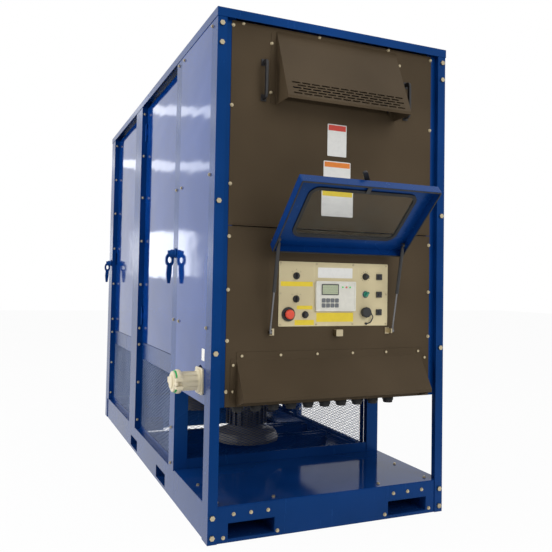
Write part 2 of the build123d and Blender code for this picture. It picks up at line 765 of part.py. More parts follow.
def door_latch():
    """Quarter-turn latch: lever outside, nut and cam inside the pan."""
    y0 = door_skin_y
    x = door_center
    hub = rod((x, y0 - 18, latch_z), (x, y0 - run_gap, latch_z), 14.0)
    lever_arm = Pos(x, y0 - 20, latch_z) * Rot(0, 35, 0) * extrude(
        Plane.XZ * Pos(0, -26) * SlotOverall(76, 20, rotation=90), 5, both=True)
    spindle = rod((x, y0 - 12, latch_z), (x, y0 + 14, latch_z), latch_spindle)
    nut = rod((x, y0 + sheet + run_gap, latch_z), (x, y0 + 9, latch_z), 10.0)
    cam = block(x - 9, x + 9, y0 + 9, y0 + 12, latch_z - 9, latch_z + 30)
    return opened(hub + lever_arm + spindle + nut + cam)


# ----------------------------------------------------------------- gas struts
strut_s = 60.0                # door stud, below the pin and inside the face
strut_t = 20.0
strut_offset = 293.0          # from the door's middle
strut_low_z = 826.0
strut_low_y = front
stud_radius = 4.0
eye_half = 5.0
eye_radius = 8.5
tube_radius = 7.5
tube_length = 205.0
piston_radius = 4.0
strut_top_y, strut_top_z = opened_point(strut_s, strut_t)
strut_vector = (0.0, strut_low_y - strut_top_y, strut_low_z - strut_top_z)
strut_length = hypot(strut_vector[1], strut_vector[2])
strut_dir = (0.0, strut_vector[1] / strut_length, strut_vector[2] / strut_length)


def along_strut(x, distance):
    """A point on the strut's axis, measured down from the door's stud."""
    return (x, strut_top_y + strut_dir[1] * distance, strut_top_z + strut_dir[2] * distance)


def strut_cylinder(x):
    """Gas cylinder with the upper eye; its lower end is bored for the rod."""
    top = along_strut(x, 0)
    bore = piston_radius + run_gap
    profile = [(0, 6), (4.5, 6), (4.5, 13), (tube_radius - 1, 13), (tube_radius, 14),
               (tube_radius, tube_length + 11), (tube_radius - 1, tube_length + 12), (bore, tube_length + 12),
               (bore, 24), (0, 24)]
    tube = turned(profile, top, strut_dir)
    eye = rod((x - eye_half, top[1], top[2]), (x + eye_half, top[1], top[2]), eye_radius)
    return tube + eye - rod((x - 20, top[1], top[2]), (x + 20, top[1], top[2]), stud_radius + 0.1)


def strut_rod(x):
    """Piston rod with the lower eye; the piston's end stays in the cylinder."""
    low = along_strut(x, strut_length)
    start = tube_length - 72.0
    profile = [(0, start), (piston_radius, start), (piston_radius, strut_length - 26), (4.6, strut_length - 26),
               (4.6, strut_length - 6), (0, strut_length - 6)]
    bar = turned(profile, along_strut(x, 0), strut_dir)
    eye = rod((x - eye_half, low[1], low[2]), (x + eye_half, low[1], low[2]), eye_radius)
    return bar + eye - rod((x - 20, low[1], low[2]), (x + 20, low[1], low[2]), stud_radius + 1.0)


def door_fittings():
    """Fixed hinge brackets, the struts' lower brackets and the latch keeper."""
    solids = []
    y_panel = panel_face - gap
    pin_y = front - door_pin_out
    for x in (door_center - door_hinge_offset, door_center + door_hinge_offset):
        bracket = block(x - door_hinge_half, x + door_hinge_half, y_panel - 3, y_panel,
                        door_pin_z - 2, door_pin_z + 30)
        for x0, x1 in ((x - door_hinge_half, x - 12 - run_gap), (x + 12 + run_gap, x + door_hinge_half)):
            bracket += block(x0, x1, pin_y, y_panel - 1, door_pin_z + 1.5, door_pin_z + 4.5)
            bracket += rod((x0, pin_y, door_pin_z), (x1, pin_y, door_pin_z), door_knuckle_radius)
        bracket += rod((x - door_hinge_half, pin_y, door_pin_z), (x + door_hinge_half, pin_y, door_pin_z),
                       door_pin_radius)
        solids.append(bracket)
    for sign in (-1, 1):
        inner = door_center + sign * (strut_offset - eye_half - run_gap)
        outer = inner - sign * 6.0
        x0, x1 = min(inner, outer), max(inner, outer)
        lug = block(x0, x1, strut_low_y - 9, y_panel, strut_low_z - 10, strut_low_z + 10)
        foot_x = outer - sign * 14.0
        lug += block(min(foot_x, inner), max(foot_x, inner), y_panel - 3, y_panel, strut_low_z - 14, strut_low_z + 14)
        solids.append(lug)
    x = 10.0
    keeper = block(x - 16, x + 16, y_panel - 30, y_panel, 806, 834)
    keeper -= block(x - 20, x + 4, y_panel - 22, y_panel - 12, 812, 840)
    solids.append(keeper)
    return solids


# -------------------------------------------------------------- control plate
plate_y = panel_face - gap            # back of the control plate
plate_face = plate_y - sheet
control_half = 264.0
control_mid = (control_low + control_high) / 2
dial_x = -185.0
dial_z = (1060.0, 963.0)
stop_place = (-220.0, 899.0)
button_place = (-142.0, 897.0)
knob_place = (149.0, 1063.0)
power_place = (149.0, 985.0)
socket_place = (149.0, 907.0)
breaker_x = 218.0
breaker_z = (1063.0, 985.0, 907.0)
stem_radius = 3.0
controller_half = 96.0
controller_low = 912.0
controller_high = 1040.0


def dials():
    return [(dial_x, dial_z[0]), (dial_x, dial_z[1]), button_place, knob_place, power_place]


def control_plate():
    """Cream panel over the opening, pierced for every device."""
    base = Plane(origin=(0, plate_face, control_mid), x_dir=(1, 0, 0), z_dir=(0, -1, 0))
    face = extrude(base * RectangleRounded(2 * control_half, control_high - control_low, 4), -sheet)
    for x, z in dials() + [stop_place]:
        face -= rod((x, plate_face - 5, z), (x, plate_face + 5, z), 11.0 + gap)
    face -= rod((socket_place[0], plate_face - 5, socket_place[1]),
                (socket_place[0], plate_face + 5, socket_place[1]), 16.0 + gap)
    for z in breaker_z:
        face -= rod((breaker_x, plate_face - 5, z), (breaker_x, plate_face + 5, z), 9.0 + gap)
    return face


def bezel(x, z, ring, thick, barrel, bore):
    """A panel device's body: front ring and threaded barrel behind the plate."""
    y0 = plate_face - gap
    profile = [(bore, thick), (ring - 1.5, thick), (ring, thick - 1.5), (ring, 0), (barrel, 0), (barrel, -26),
               (0, -26), (0, -20), (bore, -20)]
    return turned(profile, (x, y0, z), (0, -1, 0))


def control_bezels():
    solids = []
    for x, z in dials():
        solids.append(bezel(x, z, 15.0, 4.5, 11.0, stem_radius + 0.2))
    solids.append(bezel(stop_place[0], stop_place[1], 30.0, 6.0, 11.0, 5.2))
    y0 = plate_face - gap
    for z in breaker_z:
        body = block(breaker_x - 13, breaker_x + 13, y0 - 7, y0, z - 13, z + 13)
        body += rod((breaker_x, y0, z), (breaker_x, y0 + 26, z), 9.0)
        body -= rod((breaker_x, y0 - 8, z), (breaker_x, y0 + 16, z), 6.2)
        solids.append(body)
    return solids


def selector(z):
    """Three-position knob: a round skirt with a raised grip bar."""
    y0 = plate_face - gap - 4.5 - run_gap
    knob = turned([(0, 0), (12, 0), (12, 5), (10.5, 6), (0, 6)], (dial_x, y0, z), (0, -1, 0))
    knob += block(dial_x - 3.2, dial_x + 3.2, y0 - 17, y0 - 5, z - 11.5, z + 11.5)
    return knob + rod((dial_x, y0, z), (dial_x, y0 + 18, z), stem_radius)


def power_selector():
    x, z = power_place
    y0 = plate_face - gap - 4.5 - run_gap
    knob = turned([(0, 0), (12.5, 0), (12.5, 4), (11, 6), (0, 6)], (x, y0, z), (0, -1, 0))
    knob += Pos(x, 0, z) * Rot(0, 40, 0) * block(-3.5, 3.5, y0 - 18, y0 - 5, -12, 12)
    return knob + rod((x, y0, z), (x, y0 + 18, z), stem_radius)


def test_knob():
    x, z = knob_place
    y0 = plate_face - gap - 4.5 - run_gap
    cap = turned([(0, 0), (11, 0), (11, 3), (9.5, 14), (8, 16), (0, 16)], (x, y0, z), (0, -1, 0))
    return cap + rod((x, y0, z), (x, y0 + 18, z), stem_radius)


def push_button():
    """Spring button: its cap stands 5 mm clear of the bezel for its travel."""
    x, z = button_place
    y0 = plate_face - gap - 4.5 - 5.0
    cap = turned([(0, 0), (10, 0), (10, 6), (8.5, 8), (0, 9)], (x, y0, z), (0, -1, 0))
    return cap + rod((x, y0, z), (x, y0 + 18, z), stem_radius)


def stop_head():
    x, z = stop_place
    y0 = plate_face - gap - 6.0 - 6.0
    head = turned([(0, 0), (14, 0), (20, 4), (20, 9), (17, 13), (10, 15), (0, 15.5)], (x, y0, z), (0, -1, 0))
    return head + rod((x, y0, z), (x, y0 + 20, z), 5.0)


def breaker_button(z):
    y0 = plate_face - gap - 7.0
    button = turned([(0, -6), (6, -6), (6, 3), (5, 4), (0, 4)], (breaker_x, y0, z), (0, -1, 0))
    return button


def pendant_connector():
    """Round remote-control socket with its screwed cap and moulded strap."""
    x, z = socket_place
    y0 = plate_face - gap
    body = turned([(0, -28), (16, -28), (16, 0), (21, 0), (21, 4), (18, 6), (18, 9), (22, 10), (22, 19),
                   (19, 22), (0, 22)], (x, y0, z), (0, -1, 0))
    grips = 12
    for i in range(grips):
        angle = 360.0 * i / grips
        body += Pos(x, 0, z) * Rot(0, angle, 0) * block(21, 23, y0 - 18, y0 - 11, -2, 2)
    path = FilletPolyline((x + 20, y0 - 14, z), (x + 34, y0 - 14, z - 20), (x + 24, y0 - 9, z - 44),
                          (x + 6, y0 - 4, z - 50), radius=12)
    strap = sweep(Plane(origin=path @ 0, z_dir=path % 0) * Rectangle(5, 1.6), path=path)
    eye = rod((x + 4, y0 - 6, z - 50), (x + 4, y0, z - 50), 5.0)
    return body + strap + eye


keys = (4, 2)
key_pitch = 20.5


def controller_body():
    """Digital controller: framed housing with a recessed window and keys."""
    y0 = plate_face - gap
    mid = (controller_low + controller_high) / 2
    base = Plane(origin=(0, y0, mid), x_dir=(1, 0, 0), z_dir=(0, -1, 0))
    high = controller_high - controller_low
    body = extrude(base * RectangleRounded(2 * controller_half, high, 5), 12)
    body -= extrude(base * RectangleRounded(2 * controller_half - 12, high - 12, 3), 14) - extrude(
        base * Rectangle(2 * controller_half, high), 10.5)
    body -= block(-67, 7, y0 - 13, y0 - 8, 985, 1024)
    for column in range(keys[0]):
        for row in range(keys[1]):
            x = -60 + column * key_pitch
            z = 938 + row * key_pitch
            body += block(x - 7.5, x + 7.5, y0 - 12.5, y0 - 10, z - 7.5, z + 7.5)
    return body


# ------------------------------------------------------- inside the cabinet
def bulkhead_panel():
    """Sheet wall between the control bay and the fan bay, above the screen."""
    y = bulkhead_y + plate + gap
    face = block(-frame_half + plate + gap, frame_half - plate - gap, y, y + sheet, panel_bottom, panel_top)
    fold = block(-frame_half + plate + gap, frame_half - plate - gap, y, y + 30, panel_bottom, panel_bottom + sheet)
    return face + fold


def bulkhead_screen():
    """Expanded-metal screen under the bulkhead with its rails."""
    y = bulkhead_y + plate + gap
    half = frame_half - plate - gap
    rail = block(-half, half, y, y + sheet, base_height + gap, 190) + block(
        -half, half, y, y + 30, base_height + gap, base_height + gap + sheet)
    screen = block(-half + 10, half - 10, y + sheet + gap, y + sheet + gap + 1.6, 170, panel_bottom - gap)
    return [rail, screen]


fan_deck_z = 655.0
fan_y = (front + fan_d[0], front + fan_d[1])
fan_radius = 330.0
orifice_clear = 8.0


def fan_deck():
    """Deck over each fan bay with a bell-mouthed orifice ring."""
    solids = []
    for (ya, yb), yc in zip((bay_front, bay_rear), fan_y):
        deck = block(-door_face + 26, door_face - 26, ya - 80 + plate + 2, yb - gap, fan_deck_z, fan_deck_z + 3)
        if yc == fan_y[1]:
            deck = block(-door_face + 26, door_face - 26, ya + gap, yb - gap, fan_deck_z, fan_deck_z + 3)
        deck -= rod((0, yc, fan_deck_z - 5), (0, yc, fan_deck_z + 5), fan_radius + orifice_clear)
        inner = fan_radius + orifice_clear
        ring = turned([(inner, -90), (inner + 30, -98), (inner + 32, -95), (inner + 3, -86), (inner + 3, 0),
                       (inner, 0)], (0, yc, fan_deck_z), (0, 0, 1))
        solids.append(deck + ring)
    return solids


motor_radius = 118.0
motor_foot = 78.0
motor_low = base_height - plate + motor_foot   # the foot drum stands on the cross member
motor_high = 470.0
fan_hub_low = 560.0


def fan_motors():
    """Finned foot-drum motors standing under the fans, shafts up."""
    solids = []
    for yc in fan_y:
        profile = [(0, -motor_foot), (185, -motor_foot), (185, -62), (168, -30), (120, -12), (motor_radius - 14, 0),
                   (motor_radius - 14, 248), (96, 262), (40, 270), (40, 284), (0, 284)]
        motor = turned(profile, (0, yc, motor_low), (0, 0, 1))
        fins = 20
        for i in range(fins):
            fin = block(motor_radius - 18, motor_radius, -2, 2, motor_low + 12, motor_low + 236)
            motor += Pos(0, yc, 0) * Rot(0, 0, 360.0 * i / fins) * fin
        motor += block(motor_radius - 20, motor_radius + 46, yc - 45, yc + 45, motor_low + 70, motor_low + 160)
        motor += rod((0, yc, motor_low + 280), (0, yc, fan_hub_low + 70), 16.0)
        solids.append(motor)
    return solids


blades = 7


def fan_rotor(yc):
    """Axial propeller: hub, and twisted blades with swept tips."""
    hub = turned([(16.1, 0), (62, 0), (70, 8), (70, 62), (58, 70), (16.1, 70)], (0, yc, fan_hub_low), (0, 0, 1))
    rotor = hub
    for i in range(blades):
        root = Plane(origin=(64, 0, 35), x_dir=(0, cos(radians(38)), sin(radians(38))), z_dir=(1, 0, 0))
        tip = Plane(origin=(fan_radius, 0, 35), x_dir=(0, cos(radians(18)), sin(radians(18))), z_dir=(1, 0, 0))
        root_shape = root * Pos(0, 0) * RectangleRounded(96, 7, 3.2)
        tip_shape = tip * Pos(14, 0) * RectangleRounded(150, 5, 2.4)
        blade = loft([root_shape, tip_shape])
        rotor += Pos(0, yc, fan_hub_low) * Rot(0, 0, 360.0 * i / blades) * blade
    sweep_volume = rod((0, yc, fan_hub_low - 80), (0, yc, fan_hub_low + 160), fan_radius)
    return rotor & sweep_volume


rack_low = fan_deck_z + 3 + 40
tray_count = 5
tray_pitch = 230.0
element_rows = 9


def resistor_racks():
    """Open trays of resistor rods stacked in each bay above its fan."""
    solids = []
    half = door_face - 34.0
    for ya, yb in (bay_front, bay_rear):
        y0 = ya + 14
        y1 = yb - 14
        rack = None
        for x in (-half, half - 30):
            for y in (y0, y1 - 30):
                leg = block(x, x + 30, y, y + 30, fan_deck_z + 3 + gap, 1990)
                leg -= block(x + 3 if x < 0 else x - 1, x + 31 if x < 0 else x + 27,
                             y + 3 if y == y0 else y - 1, y + 31 if y == y0 else y + 27, fan_deck_z, 2000)
                rack = leg if rack is None else rack + leg
        for tray in range(tray_count):
            z = rack_low + 120 + tray * tray_pitch
            for y in (y0, y1 - 3):
                rack += block(-half, half, y, y + 3, z - 30, z + 60)
            for x in (-half, half - 3):
                rack += block(x, x + 3, y0, y1, z - 30, z + 60)
        solids.append(rack)
    return solids


def resistor_elements():
    """Sheathed rods across the trays, front to back, in their insulators."""
    solids = []
    half = door_face - 34.0
    for ya, yb in (bay_front, bay_rear):
        y0 = ya + 14 + 3
        y1 = yb - 14 - 3
        for tray in range(tray_count):
            z = rack_low + 120 + tray * tray_pitch + 15
            for i in range(element_rows):
                x = -half + (2 * half) * (i + 0.5) / element_rows
                solids.append(block(x - 11, x + 11, y0 + gap, y1 - gap, z - 11, z + 11))
    return solids


def contactor_panel():
    """Back plate on the bulkhead with contactors, fuses and wireway."""
    y1 = bulkhead_y - 40.0
    gear = block(-430, 430, y1, y1 + 3, 760, 1960)
    for x in (-380, 380):
        for z in (800, 1900):
            gear += block(x - 20, x + 20, y1 + 3, bulkhead_y + plate, z - 20, z + 20)
    for row, z in enumerate((860, 1080, 1300, 1520)):
        for column in range(6):
            x = -350 + column * 140
            gear += block(x - 50, x + 50, y1 - 95, y1, z, z + 130)
            gear += block(x - 38, x + 38, y1 - 110, y1 - 95, z + 35, z + 95)
    for z in (1010, 1230, 1450, 1670):
        gear += block(-410, 410, y1 - 60, y1, z, z + 45)
    for column in range(9):
        x = -360 + column * 90
        gear += block(x - 30, x + 30, y1 - 80, y1, 1750, 1890)
    return gear


def rear_panel():
    """Bolted rear wall with a stiffening fold round its edge."""
    x = frame_half - plate - gap
    y = frame_back - plate - gap
    wall = block(-x, x, y - sheet, y, base_height + gap, panel_top)
    wall -= block(-x + 40, x - 40, y - 1, y + 1, 260, panel_top - 60)
    inset = block(-x + 40 - sheet, x - 40 + sheet, y - 8, y - 8 + sheet, 260 - sheet, panel_top - 60 + sheet)
    rim = block(-x + 40 - sheet, x - 40 + sheet, y - 8, y - 0.5, 260 - sheet, panel_top - 60 + sheet)
    rim -= block(-x + 40, x - 40, y - 9, y + 1, 260, panel_top - 60)
    wall -= block(-x + 40, x - 40, y - 9, y + 1, 260, panel_top - 60)
    return wall + inset + rim


# ------------------------------------------------------------------ large bolts
bolt_flat = 19.0
bolt_head = 8.0
post_bolt_x = frame_half - 18.0
post_bolt_z = (28.0, 105.0, 745.0, 1352.0, 1990.0, 2069.0)


def hex_head(x, y, z):
    """Six-sided head standing on the face at y, pointing forward."""
    base = Plane(origin=(x, y, z), x_dir=(1, 0, 0), z_dir=(0, -1, 0))
    return extrude(base * RegularPolygon(bolt_flat / 2, 6, major_radius=False), bolt_head)


def post_bolts():
    solids = []
    for sign in (-1, 1):
        for z in post_bolt_z:
            solids.append(hex_head(sign * post_bolt_x, frame_front - gap, z))
    return solids


def deck_plate():
    """Floor of the control bay, lying on the base rails."""
    y1 = bulkhead_y - gap
    corner = front_post_face + gap
    deck = block(-frame_half + plate + gap, frame_half - plate - gap, frame_front + plate + gap, y1,
                 deck_top + gap, deck_top + gap + plate)
    for sign in (-1, 1):
        x0 = sign * (frame_half - plate)
        x1 = sign * (frame_half - corner - plate)
        deck -= block(min(x0, x1), max(x0, x1), frame_front, frame_front + plate + 0.5, 0, height)
    return deck


# ------------------------------------------------------------------- write all
def main():
    write("base_end_rails", [end_rail(rail_front, 1), end_rail(rail_back, -1)])
    write("base_side_rails", side_rails())
    write("underframe", underframe())
    write("deck_plate", deck_plate())
    write("corner_posts", both_sides(corner_post()))
    write("side_posts", side_posts())
    write("roof_cap", roof_cap())
    write("exhaust_grilles", exhaust_grilles())
    write("front_panel_upper", front_panel_upper())
    write("front_panel_lower", front_panel_lower())
    write("panel_handles", [grab_handle(-348.0), grab_handle(348.0)])
    write("vent_hood", vent_hood())
    write("vent_screen", vent_screen())
    write("connector_hood", connector_hood())
    write("connector_plate", connector_plate())
    write("cable_connectors", cable_connectors())
    write("side_panels", [side_panel(True), side_panel(False)])
    write("inlet_body", receptacle_body())
    write("inlet_cap", receptacle_cap())
    write("control_plate", control_plate())
    write("controller_body", controller_body())
    write("control_bezels", control_bezels())
    write("pendant_connector", pendant_connector())
    write("door_fittings", door_fittings())
    write("post_bolts", post_bolts())
    write("bulkhead", [bulkhead_panel()] + bulkhead_screen())
    write("fan_deck", fan_deck())
    write("fan_motors", fan_motors())
    write("resistor_racks", resistor_racks())
    write("resistor_elements", resistor_elements())
    write("contactor_panel", contactor_panel())
    write("rear_panel", rear_panel())
    intake = intake_panel(*bay_front) + intake_panel(*bay_rear)
    write("intake_panels", intake + [mirror_x(solid) for solid in intake])
    write("fan_rotor_front", fan_rotor(fan_y[0]))
    write("fan_rotor_rear", fan_rotor(fan_y[1]))
    front_door = bay_door(*bay_front, False)
    rear_door = bay_door(*bay_rear, True)
    write("bay_door_right_front", front_door)
    write("bay_door_right_rear", rear_door)
    write("bay_door_left_front", mirror_x(front_door))
    write("bay_door_left_rear", mirror_x(rear_door))
    front_lever = lever(lever_front_y, 1)
    rear_lever = lever(lever_rear_y, -1)
    write("door_lever_right_front", front_lever)
    write("door_lever_right_rear", rear_lever)
    write("door_lever_left_front", mirror_x(front_lever))
    write("door_lever_left_rear", mirror_x(rear_lever))
    write("control_door", control_door())
    write("door_rubber", [window_gasket(), door_seal()])
    write("window_pane", window_pane())
    write("door_latch", door_latch())
    write("strut_cylinder_left", strut_cylinder(door_center - strut_offset))
    write("strut_cylinder_right", strut_cylinder(door_center + strut_offset))
    write("strut_rod_left", strut_rod(door_center - strut_offset))
    write("strut_rod_right", strut_rod(door_center + strut_offset))
    write("selector_upper", selector(dial_z[0]))
    write("selector_lower", selector(dial_z[1]))
    write("stop_head", stop_head())
    write("push_button", push_button())
    write("test_knob", test_knob())
    write("power_selector", power_selector())
    for number, z in enumerate(breaker_z, 1):
        write(f"breaker_button_{number}", breaker_button(z))


main()
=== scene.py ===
"""Generator load bank: its finishes, screens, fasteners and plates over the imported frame."""

from math import cos, pi, radians, sin

import bpy
from mathutils import Matrix, Vector


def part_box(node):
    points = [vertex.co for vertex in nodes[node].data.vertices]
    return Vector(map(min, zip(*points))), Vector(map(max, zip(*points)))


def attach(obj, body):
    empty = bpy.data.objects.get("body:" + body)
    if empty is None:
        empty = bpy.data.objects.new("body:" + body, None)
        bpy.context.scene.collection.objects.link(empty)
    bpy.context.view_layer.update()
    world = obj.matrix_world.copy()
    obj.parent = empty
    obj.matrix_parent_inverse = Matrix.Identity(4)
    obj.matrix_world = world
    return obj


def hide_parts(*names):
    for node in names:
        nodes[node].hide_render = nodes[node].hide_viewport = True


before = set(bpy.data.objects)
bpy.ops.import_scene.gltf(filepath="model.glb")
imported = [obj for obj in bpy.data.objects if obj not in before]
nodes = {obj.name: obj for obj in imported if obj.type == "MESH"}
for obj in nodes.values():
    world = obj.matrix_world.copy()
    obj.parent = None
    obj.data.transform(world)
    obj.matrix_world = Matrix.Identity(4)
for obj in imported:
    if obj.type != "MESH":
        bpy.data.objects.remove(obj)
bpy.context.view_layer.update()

# Sizes in metres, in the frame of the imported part
FRONT = -1.35
PANEL = FRONT + 0.022             # face of the dark front panels
SIDE = 0.5567                     # outer face of the posts
DOOR_FACE = 0.5247                # outer face of the bay doors
PLATE_FACE = PANEL - 0.0023       # face of the control plate
CABINET = "cabinet"
# Front faces of the side posts, and how far each bay starts behind its post
BULKHEAD_POST = FRONT + 0.562
MIDDLE_POST = FRONT + 1.520
REAR_POST = FRONT + 2.560
BULKHEAD_POST_DEPTH = 0.093
MIDDLE_POST_DEPTH = 0.185
SCREW_STRIP = 0.5415              # middle of a post's forward-facing strip


# ------------------------------------------------------------------- shader maths
class Value:
    """A shader socket that Python's operators turn into Math nodes."""

    def __init__(self, surface, socket):
        self.surface = surface
        self.socket = socket

    def math(self, operation, *others):
        return self.surface.add("ShaderNodeMath", {"operation": operation}, [self, *others])

    def __add__(self, other):
        return self.math("ADD", other)

    def __radd__(self, other):
        return self.math("ADD", other)

    def __mul__(self, other):
        return self.math("MULTIPLY", other)

    def __rmul__(self, other):
        return self.math("MULTIPLY", other)

    def __rsub__(self, other):
        return self.surface.add("ShaderNodeMath", {"operation": "SUBTRACT"}, [other, self])


class Surface:
    """One material, built node by node."""

    def __init__(self, name):
        self.material = bpy.data.materials.new(name)
        self.material.use_nodes = True
        self.tree = self.material.node_tree
        self.tree.nodes.clear()
        self.output = self.tree.nodes.new("ShaderNodeOutputMaterial")

    def add(self, kind, settings=None, inputs=None, out=0):
        """A node of this kind, its settings first, then its sockets by name or by order."""
        node = self.tree.nodes.new(kind)
        for key, setting in (settings or {}).items():
            if key == "stops":
                for index, (place, color) in enumerate(setting):
                    ramp = node.color_ramp.elements
                    stop = ramp[index] if index < 2 else ramp.new(place)
                    stop.position = place
                    stop.color = (*color, 1.0)
            else:
                setattr(node, key, setting)
        pairs = inputs.items() if isinstance(inputs, dict) else enumerate(inputs or [])
        for key, given in pairs:
            self.feed(node.inputs[key], given)
        return Value(self, node.outputs[out])

    def feed(self, socket, given):
        if isinstance(given, Value):
            self.tree.links.new(given.socket, socket)
        elif isinstance(given, tuple) and len(given) == 3 and socket.type == "RGBA":
            socket.default_value = (*given, 1.0)
        else:
            socket.default_value = given

    def place(self, scale=(1.0, 1.0, 1.0)):
        """The point on the piece, in metres, stretched by scale."""
        point = self.add("ShaderNodeTexCoord", out="Object")
        if scale == (1.0, 1.0, 1.0):
            return point
        return self.add("ShaderNodeVectorMath", {"operation": "MULTIPLY"}, [point, scale])

    def noise(self, scale, detail=3.0, rough=0.55, stretch=(1.0, 1.0, 1.0)):
        return self.add("ShaderNodeTexNoise", None,
                        {"Vector": self.place(stretch), "Scale": scale, "Detail": detail, "Roughness": rough})

    def band(self, source, low, high):
        """Maps source from low..high to 0..1, held at the ends."""
        return self.add("ShaderNodeMapRange", {"clamp": True},
                        {"Value": source, "From Min": low, "From Max": high, "To Min": 0.0, "To Max": 1.0})

    def blend(self, factor, first, second):
        """Mixes two colours."""
        return self.add("ShaderNodeMix", {"data_type": "RGBA"}, {0: factor, 6: first, 7: second}, out=2)

    def bump(self, height, strength, distance):
        return self.add("ShaderNodeBump", None, {"Strength": strength, "Distance": distance, "Height": height})

    def finish(self, color, rough, metal=0.0, normal=None, coat=0.0, coat_rough=0.05, alpha=None, **plain):
        inputs = {"Base Color": color, "Roughness": rough, "Metallic": metal, "Coat Weight": coat,
                  "Coat Roughness": coat_rough}
        if normal is not None:
            inputs["Normal"] = normal
        if alpha is not None:
            inputs["Alpha"] = alpha
        for key, given in plain.items():
            inputs[key.replace("_", " ")] = given
        shader = self.add("ShaderNodeBsdfPrincipled", None, inputs)
        self.tree.links.new(shader.socket, self.output.inputs["Surface"])
        return self.material


def powder_coat(name, color, gloss, coat, grain=420.0, grain_depth=0.35, dust=0.10, level=0.30,
                tint=(1.0, 1.0, 1.0), waves=0.0):
    """Sprayed and baked paint: orange peel, slow tone change, dust low down, fine rubs, and
    slow waves where the sheet under it is not quite flat."""
    s = Surface(name)
    peel = s.noise(grain, 2.0, 0.5)
    tone = s.noise(2.2, 2.0, 0.5)
    rub = s.band(s.noise(34.0, 5.0, 0.7, (1.0, 1.0, 0.12)), 0.62, 0.80)
    low = s.add("ShaderNodeSeparateXYZ", None, [s.place()], out=2)
    dusty = s.band(low, 0.30, 0.0) * s.noise(26.0, 4.0, 0.65) * dust
    darker = tuple(c * 0.82 for c in color)
    lighter = tuple(min(1.0, c * 1.12 + 0.002) for c in color)
    coloured = s.blend(s.band(tone, 0.35, 0.65), darker, lighter)
    rubbed = s.blend(rub * 0.15, coloured, tuple(min(1.0, c * 1.7) for c in color))
    final = s.blend(dusty, rubbed, (0.34, 0.31, 0.27))
    rough = gloss + 0.10 * rub + 0.35 * dusty + 0.05 * tone
    normal = s.bump(peel, grain_depth, 0.00025)
    if waves:
        normal = s.add("ShaderNodeBump", None, {"Strength": 1.0, "Distance": waves, "Normal": normal,
                                                "Height": s.noise(2.6, 2.0, 0.5, (1.0, 0.7, 1.6))})
    return s.finish(final, rough, 0.0, normal, coat, 0.04, Specular_IOR_Level=level,
                    Specular_Tint=(*tint, 1.0))


def worn_metal(name, color, rough, grain=(1.0, 1.0, 1.0), scale=240.0, stain=(0.30, 0.24, 0.16), stain_amount=0.35):
    """Bare or plated metal with a drawn grain, blotches and a little staining."""
    s = Surface(name)
    lines = s.noise(scale, 3.0, 0.6, grain)
    blotch = s.noise(18.0, 4.0, 0.6)
    patch = s.band(blotch, 0.52, 0.75)
    base = s.blend(s.band(lines, 0.3, 0.7), tuple(c * 0.86 for c in color), color)
    stained = s.blend(patch * stain_amount, base, tuple(c * a for c, a in zip(color, stain)))
    return s.finish(stained, rough + 0.18 * patch + 0.08 * lines, 1.0 - 0.25 * patch,
                    s.bump(lines, 0.25, 0.0002))


def moulded(name, color, rough, grain=700.0, depth=0.3, coat=0.0, wear=0.12):
    """Moulded plastic or rubber: fine grain, slightly greyed where it is handled."""
    s = Surface(name)
    fine = s.noise(grain, 2.0, 0.5)
    tone = s.noise(30.0, 3.0, 0.6)
    pale = tuple(min(1.0, c * 1.25 + 0.012) for c in color)
    coloured = s.blend(s.band(tone, 0.40, 0.75) * wear * 4.0, color, pale)
    return s.finish(coloured, rough + 0.12 * tone, 0.0, s.bump(fine, depth, 0.0002), coat, 0.08)


def galvanised_sheet(name):
    """Zinc spangle: cells of slightly different grey."""
    s = Surface(name)
    cells = s.add("ShaderNodeTexVoronoi", {"feature": "F1"}, {"Vector": s.place(), "Scale": 60.0}, out="Color")
    grey = s.add("ShaderNodeSeparateColor", None, [cells], out=0)
    cloud = s.noise(9.0, 3.0, 0.6)
    color = s.blend(grey * 0.6 + cloud * 0.3, (0.30, 0.32, 0.33), (0.52, 0.54, 0.55))
    return s.finish(color, 0.34 + 0.22 * grey, 0.85, s.bump(cloud, 0.15, 0.0004))


def heated_steel(name):
    """Resistor steel, straw to brown and blue where it has been hot."""
    s = Surface(name)
    heat = s.noise(6.0, 3.0, 0.6)
    ramp = s.add("ShaderNodeValToRGB", {"stops": [(0.30, (0.36, 0.35, 0.34)), (0.70, (0.13, 0.11, 0.15)),
                                                  (0.50, (0.30, 0.21, 0.13))]}, [heat])
    return s.finish(ramp, 0.40 + 0.25 * heat, 0.9, s.bump(s.noise(300.0), 0.2, 0.0002))


def clear_pane(name):
    """Tempered glass with a faint green edge and light smears."""
    s = Surface(name)
    smear = s.band(s.noise(9.0, 4.0, 0.6, (1.0, 1.0, 3.0)), 0.45, 0.85)
    return s.finish((0.10, 0.13, 0.12), 0.02 + 0.10 * smear, 0.0, None, alpha=0.05 + 0.06 * smear)


def printed(name, color, rough=0.45):
    """A printed label or plate: flat ink with slight handling marks."""
    s = Surface(name)
    marks = s.noise(55.0, 4.0, 0.6)
    return s.finish(s.blend(s.band(marks, 0.45, 0.8) * 0.25, color, tuple(c * 0.72 for c in color)),
                    rough + 0.12 * marks, 0.0, s.bump(s.noise(900.0, 1.0), 0.12, 0.0001), 0.25, 0.15)


def display_glass(name):
    """Backlit display: grey-green with faint segment rows."""
    s = Surface(name)
    rows = s.add("ShaderNodeTexWave", {"wave_type": "BANDS", "bands_direction": "Z", "wave_profile": "SIN"},
                 {"Vector": s.place(), "Scale": 34.0})
    dots = s.noise(620.0, 1.0)
    ink = s.band(rows, 0.62, 0.70) * s.band(dots, 0.50, 0.56)
    color = s.blend(ink * 0.55, (0.42, 0.47, 0.30), (0.10, 0.12, 0.09))
    return s.finish(color, 0.18 + 0.1 * ink, 0.0, None, 0.6, 0.03)


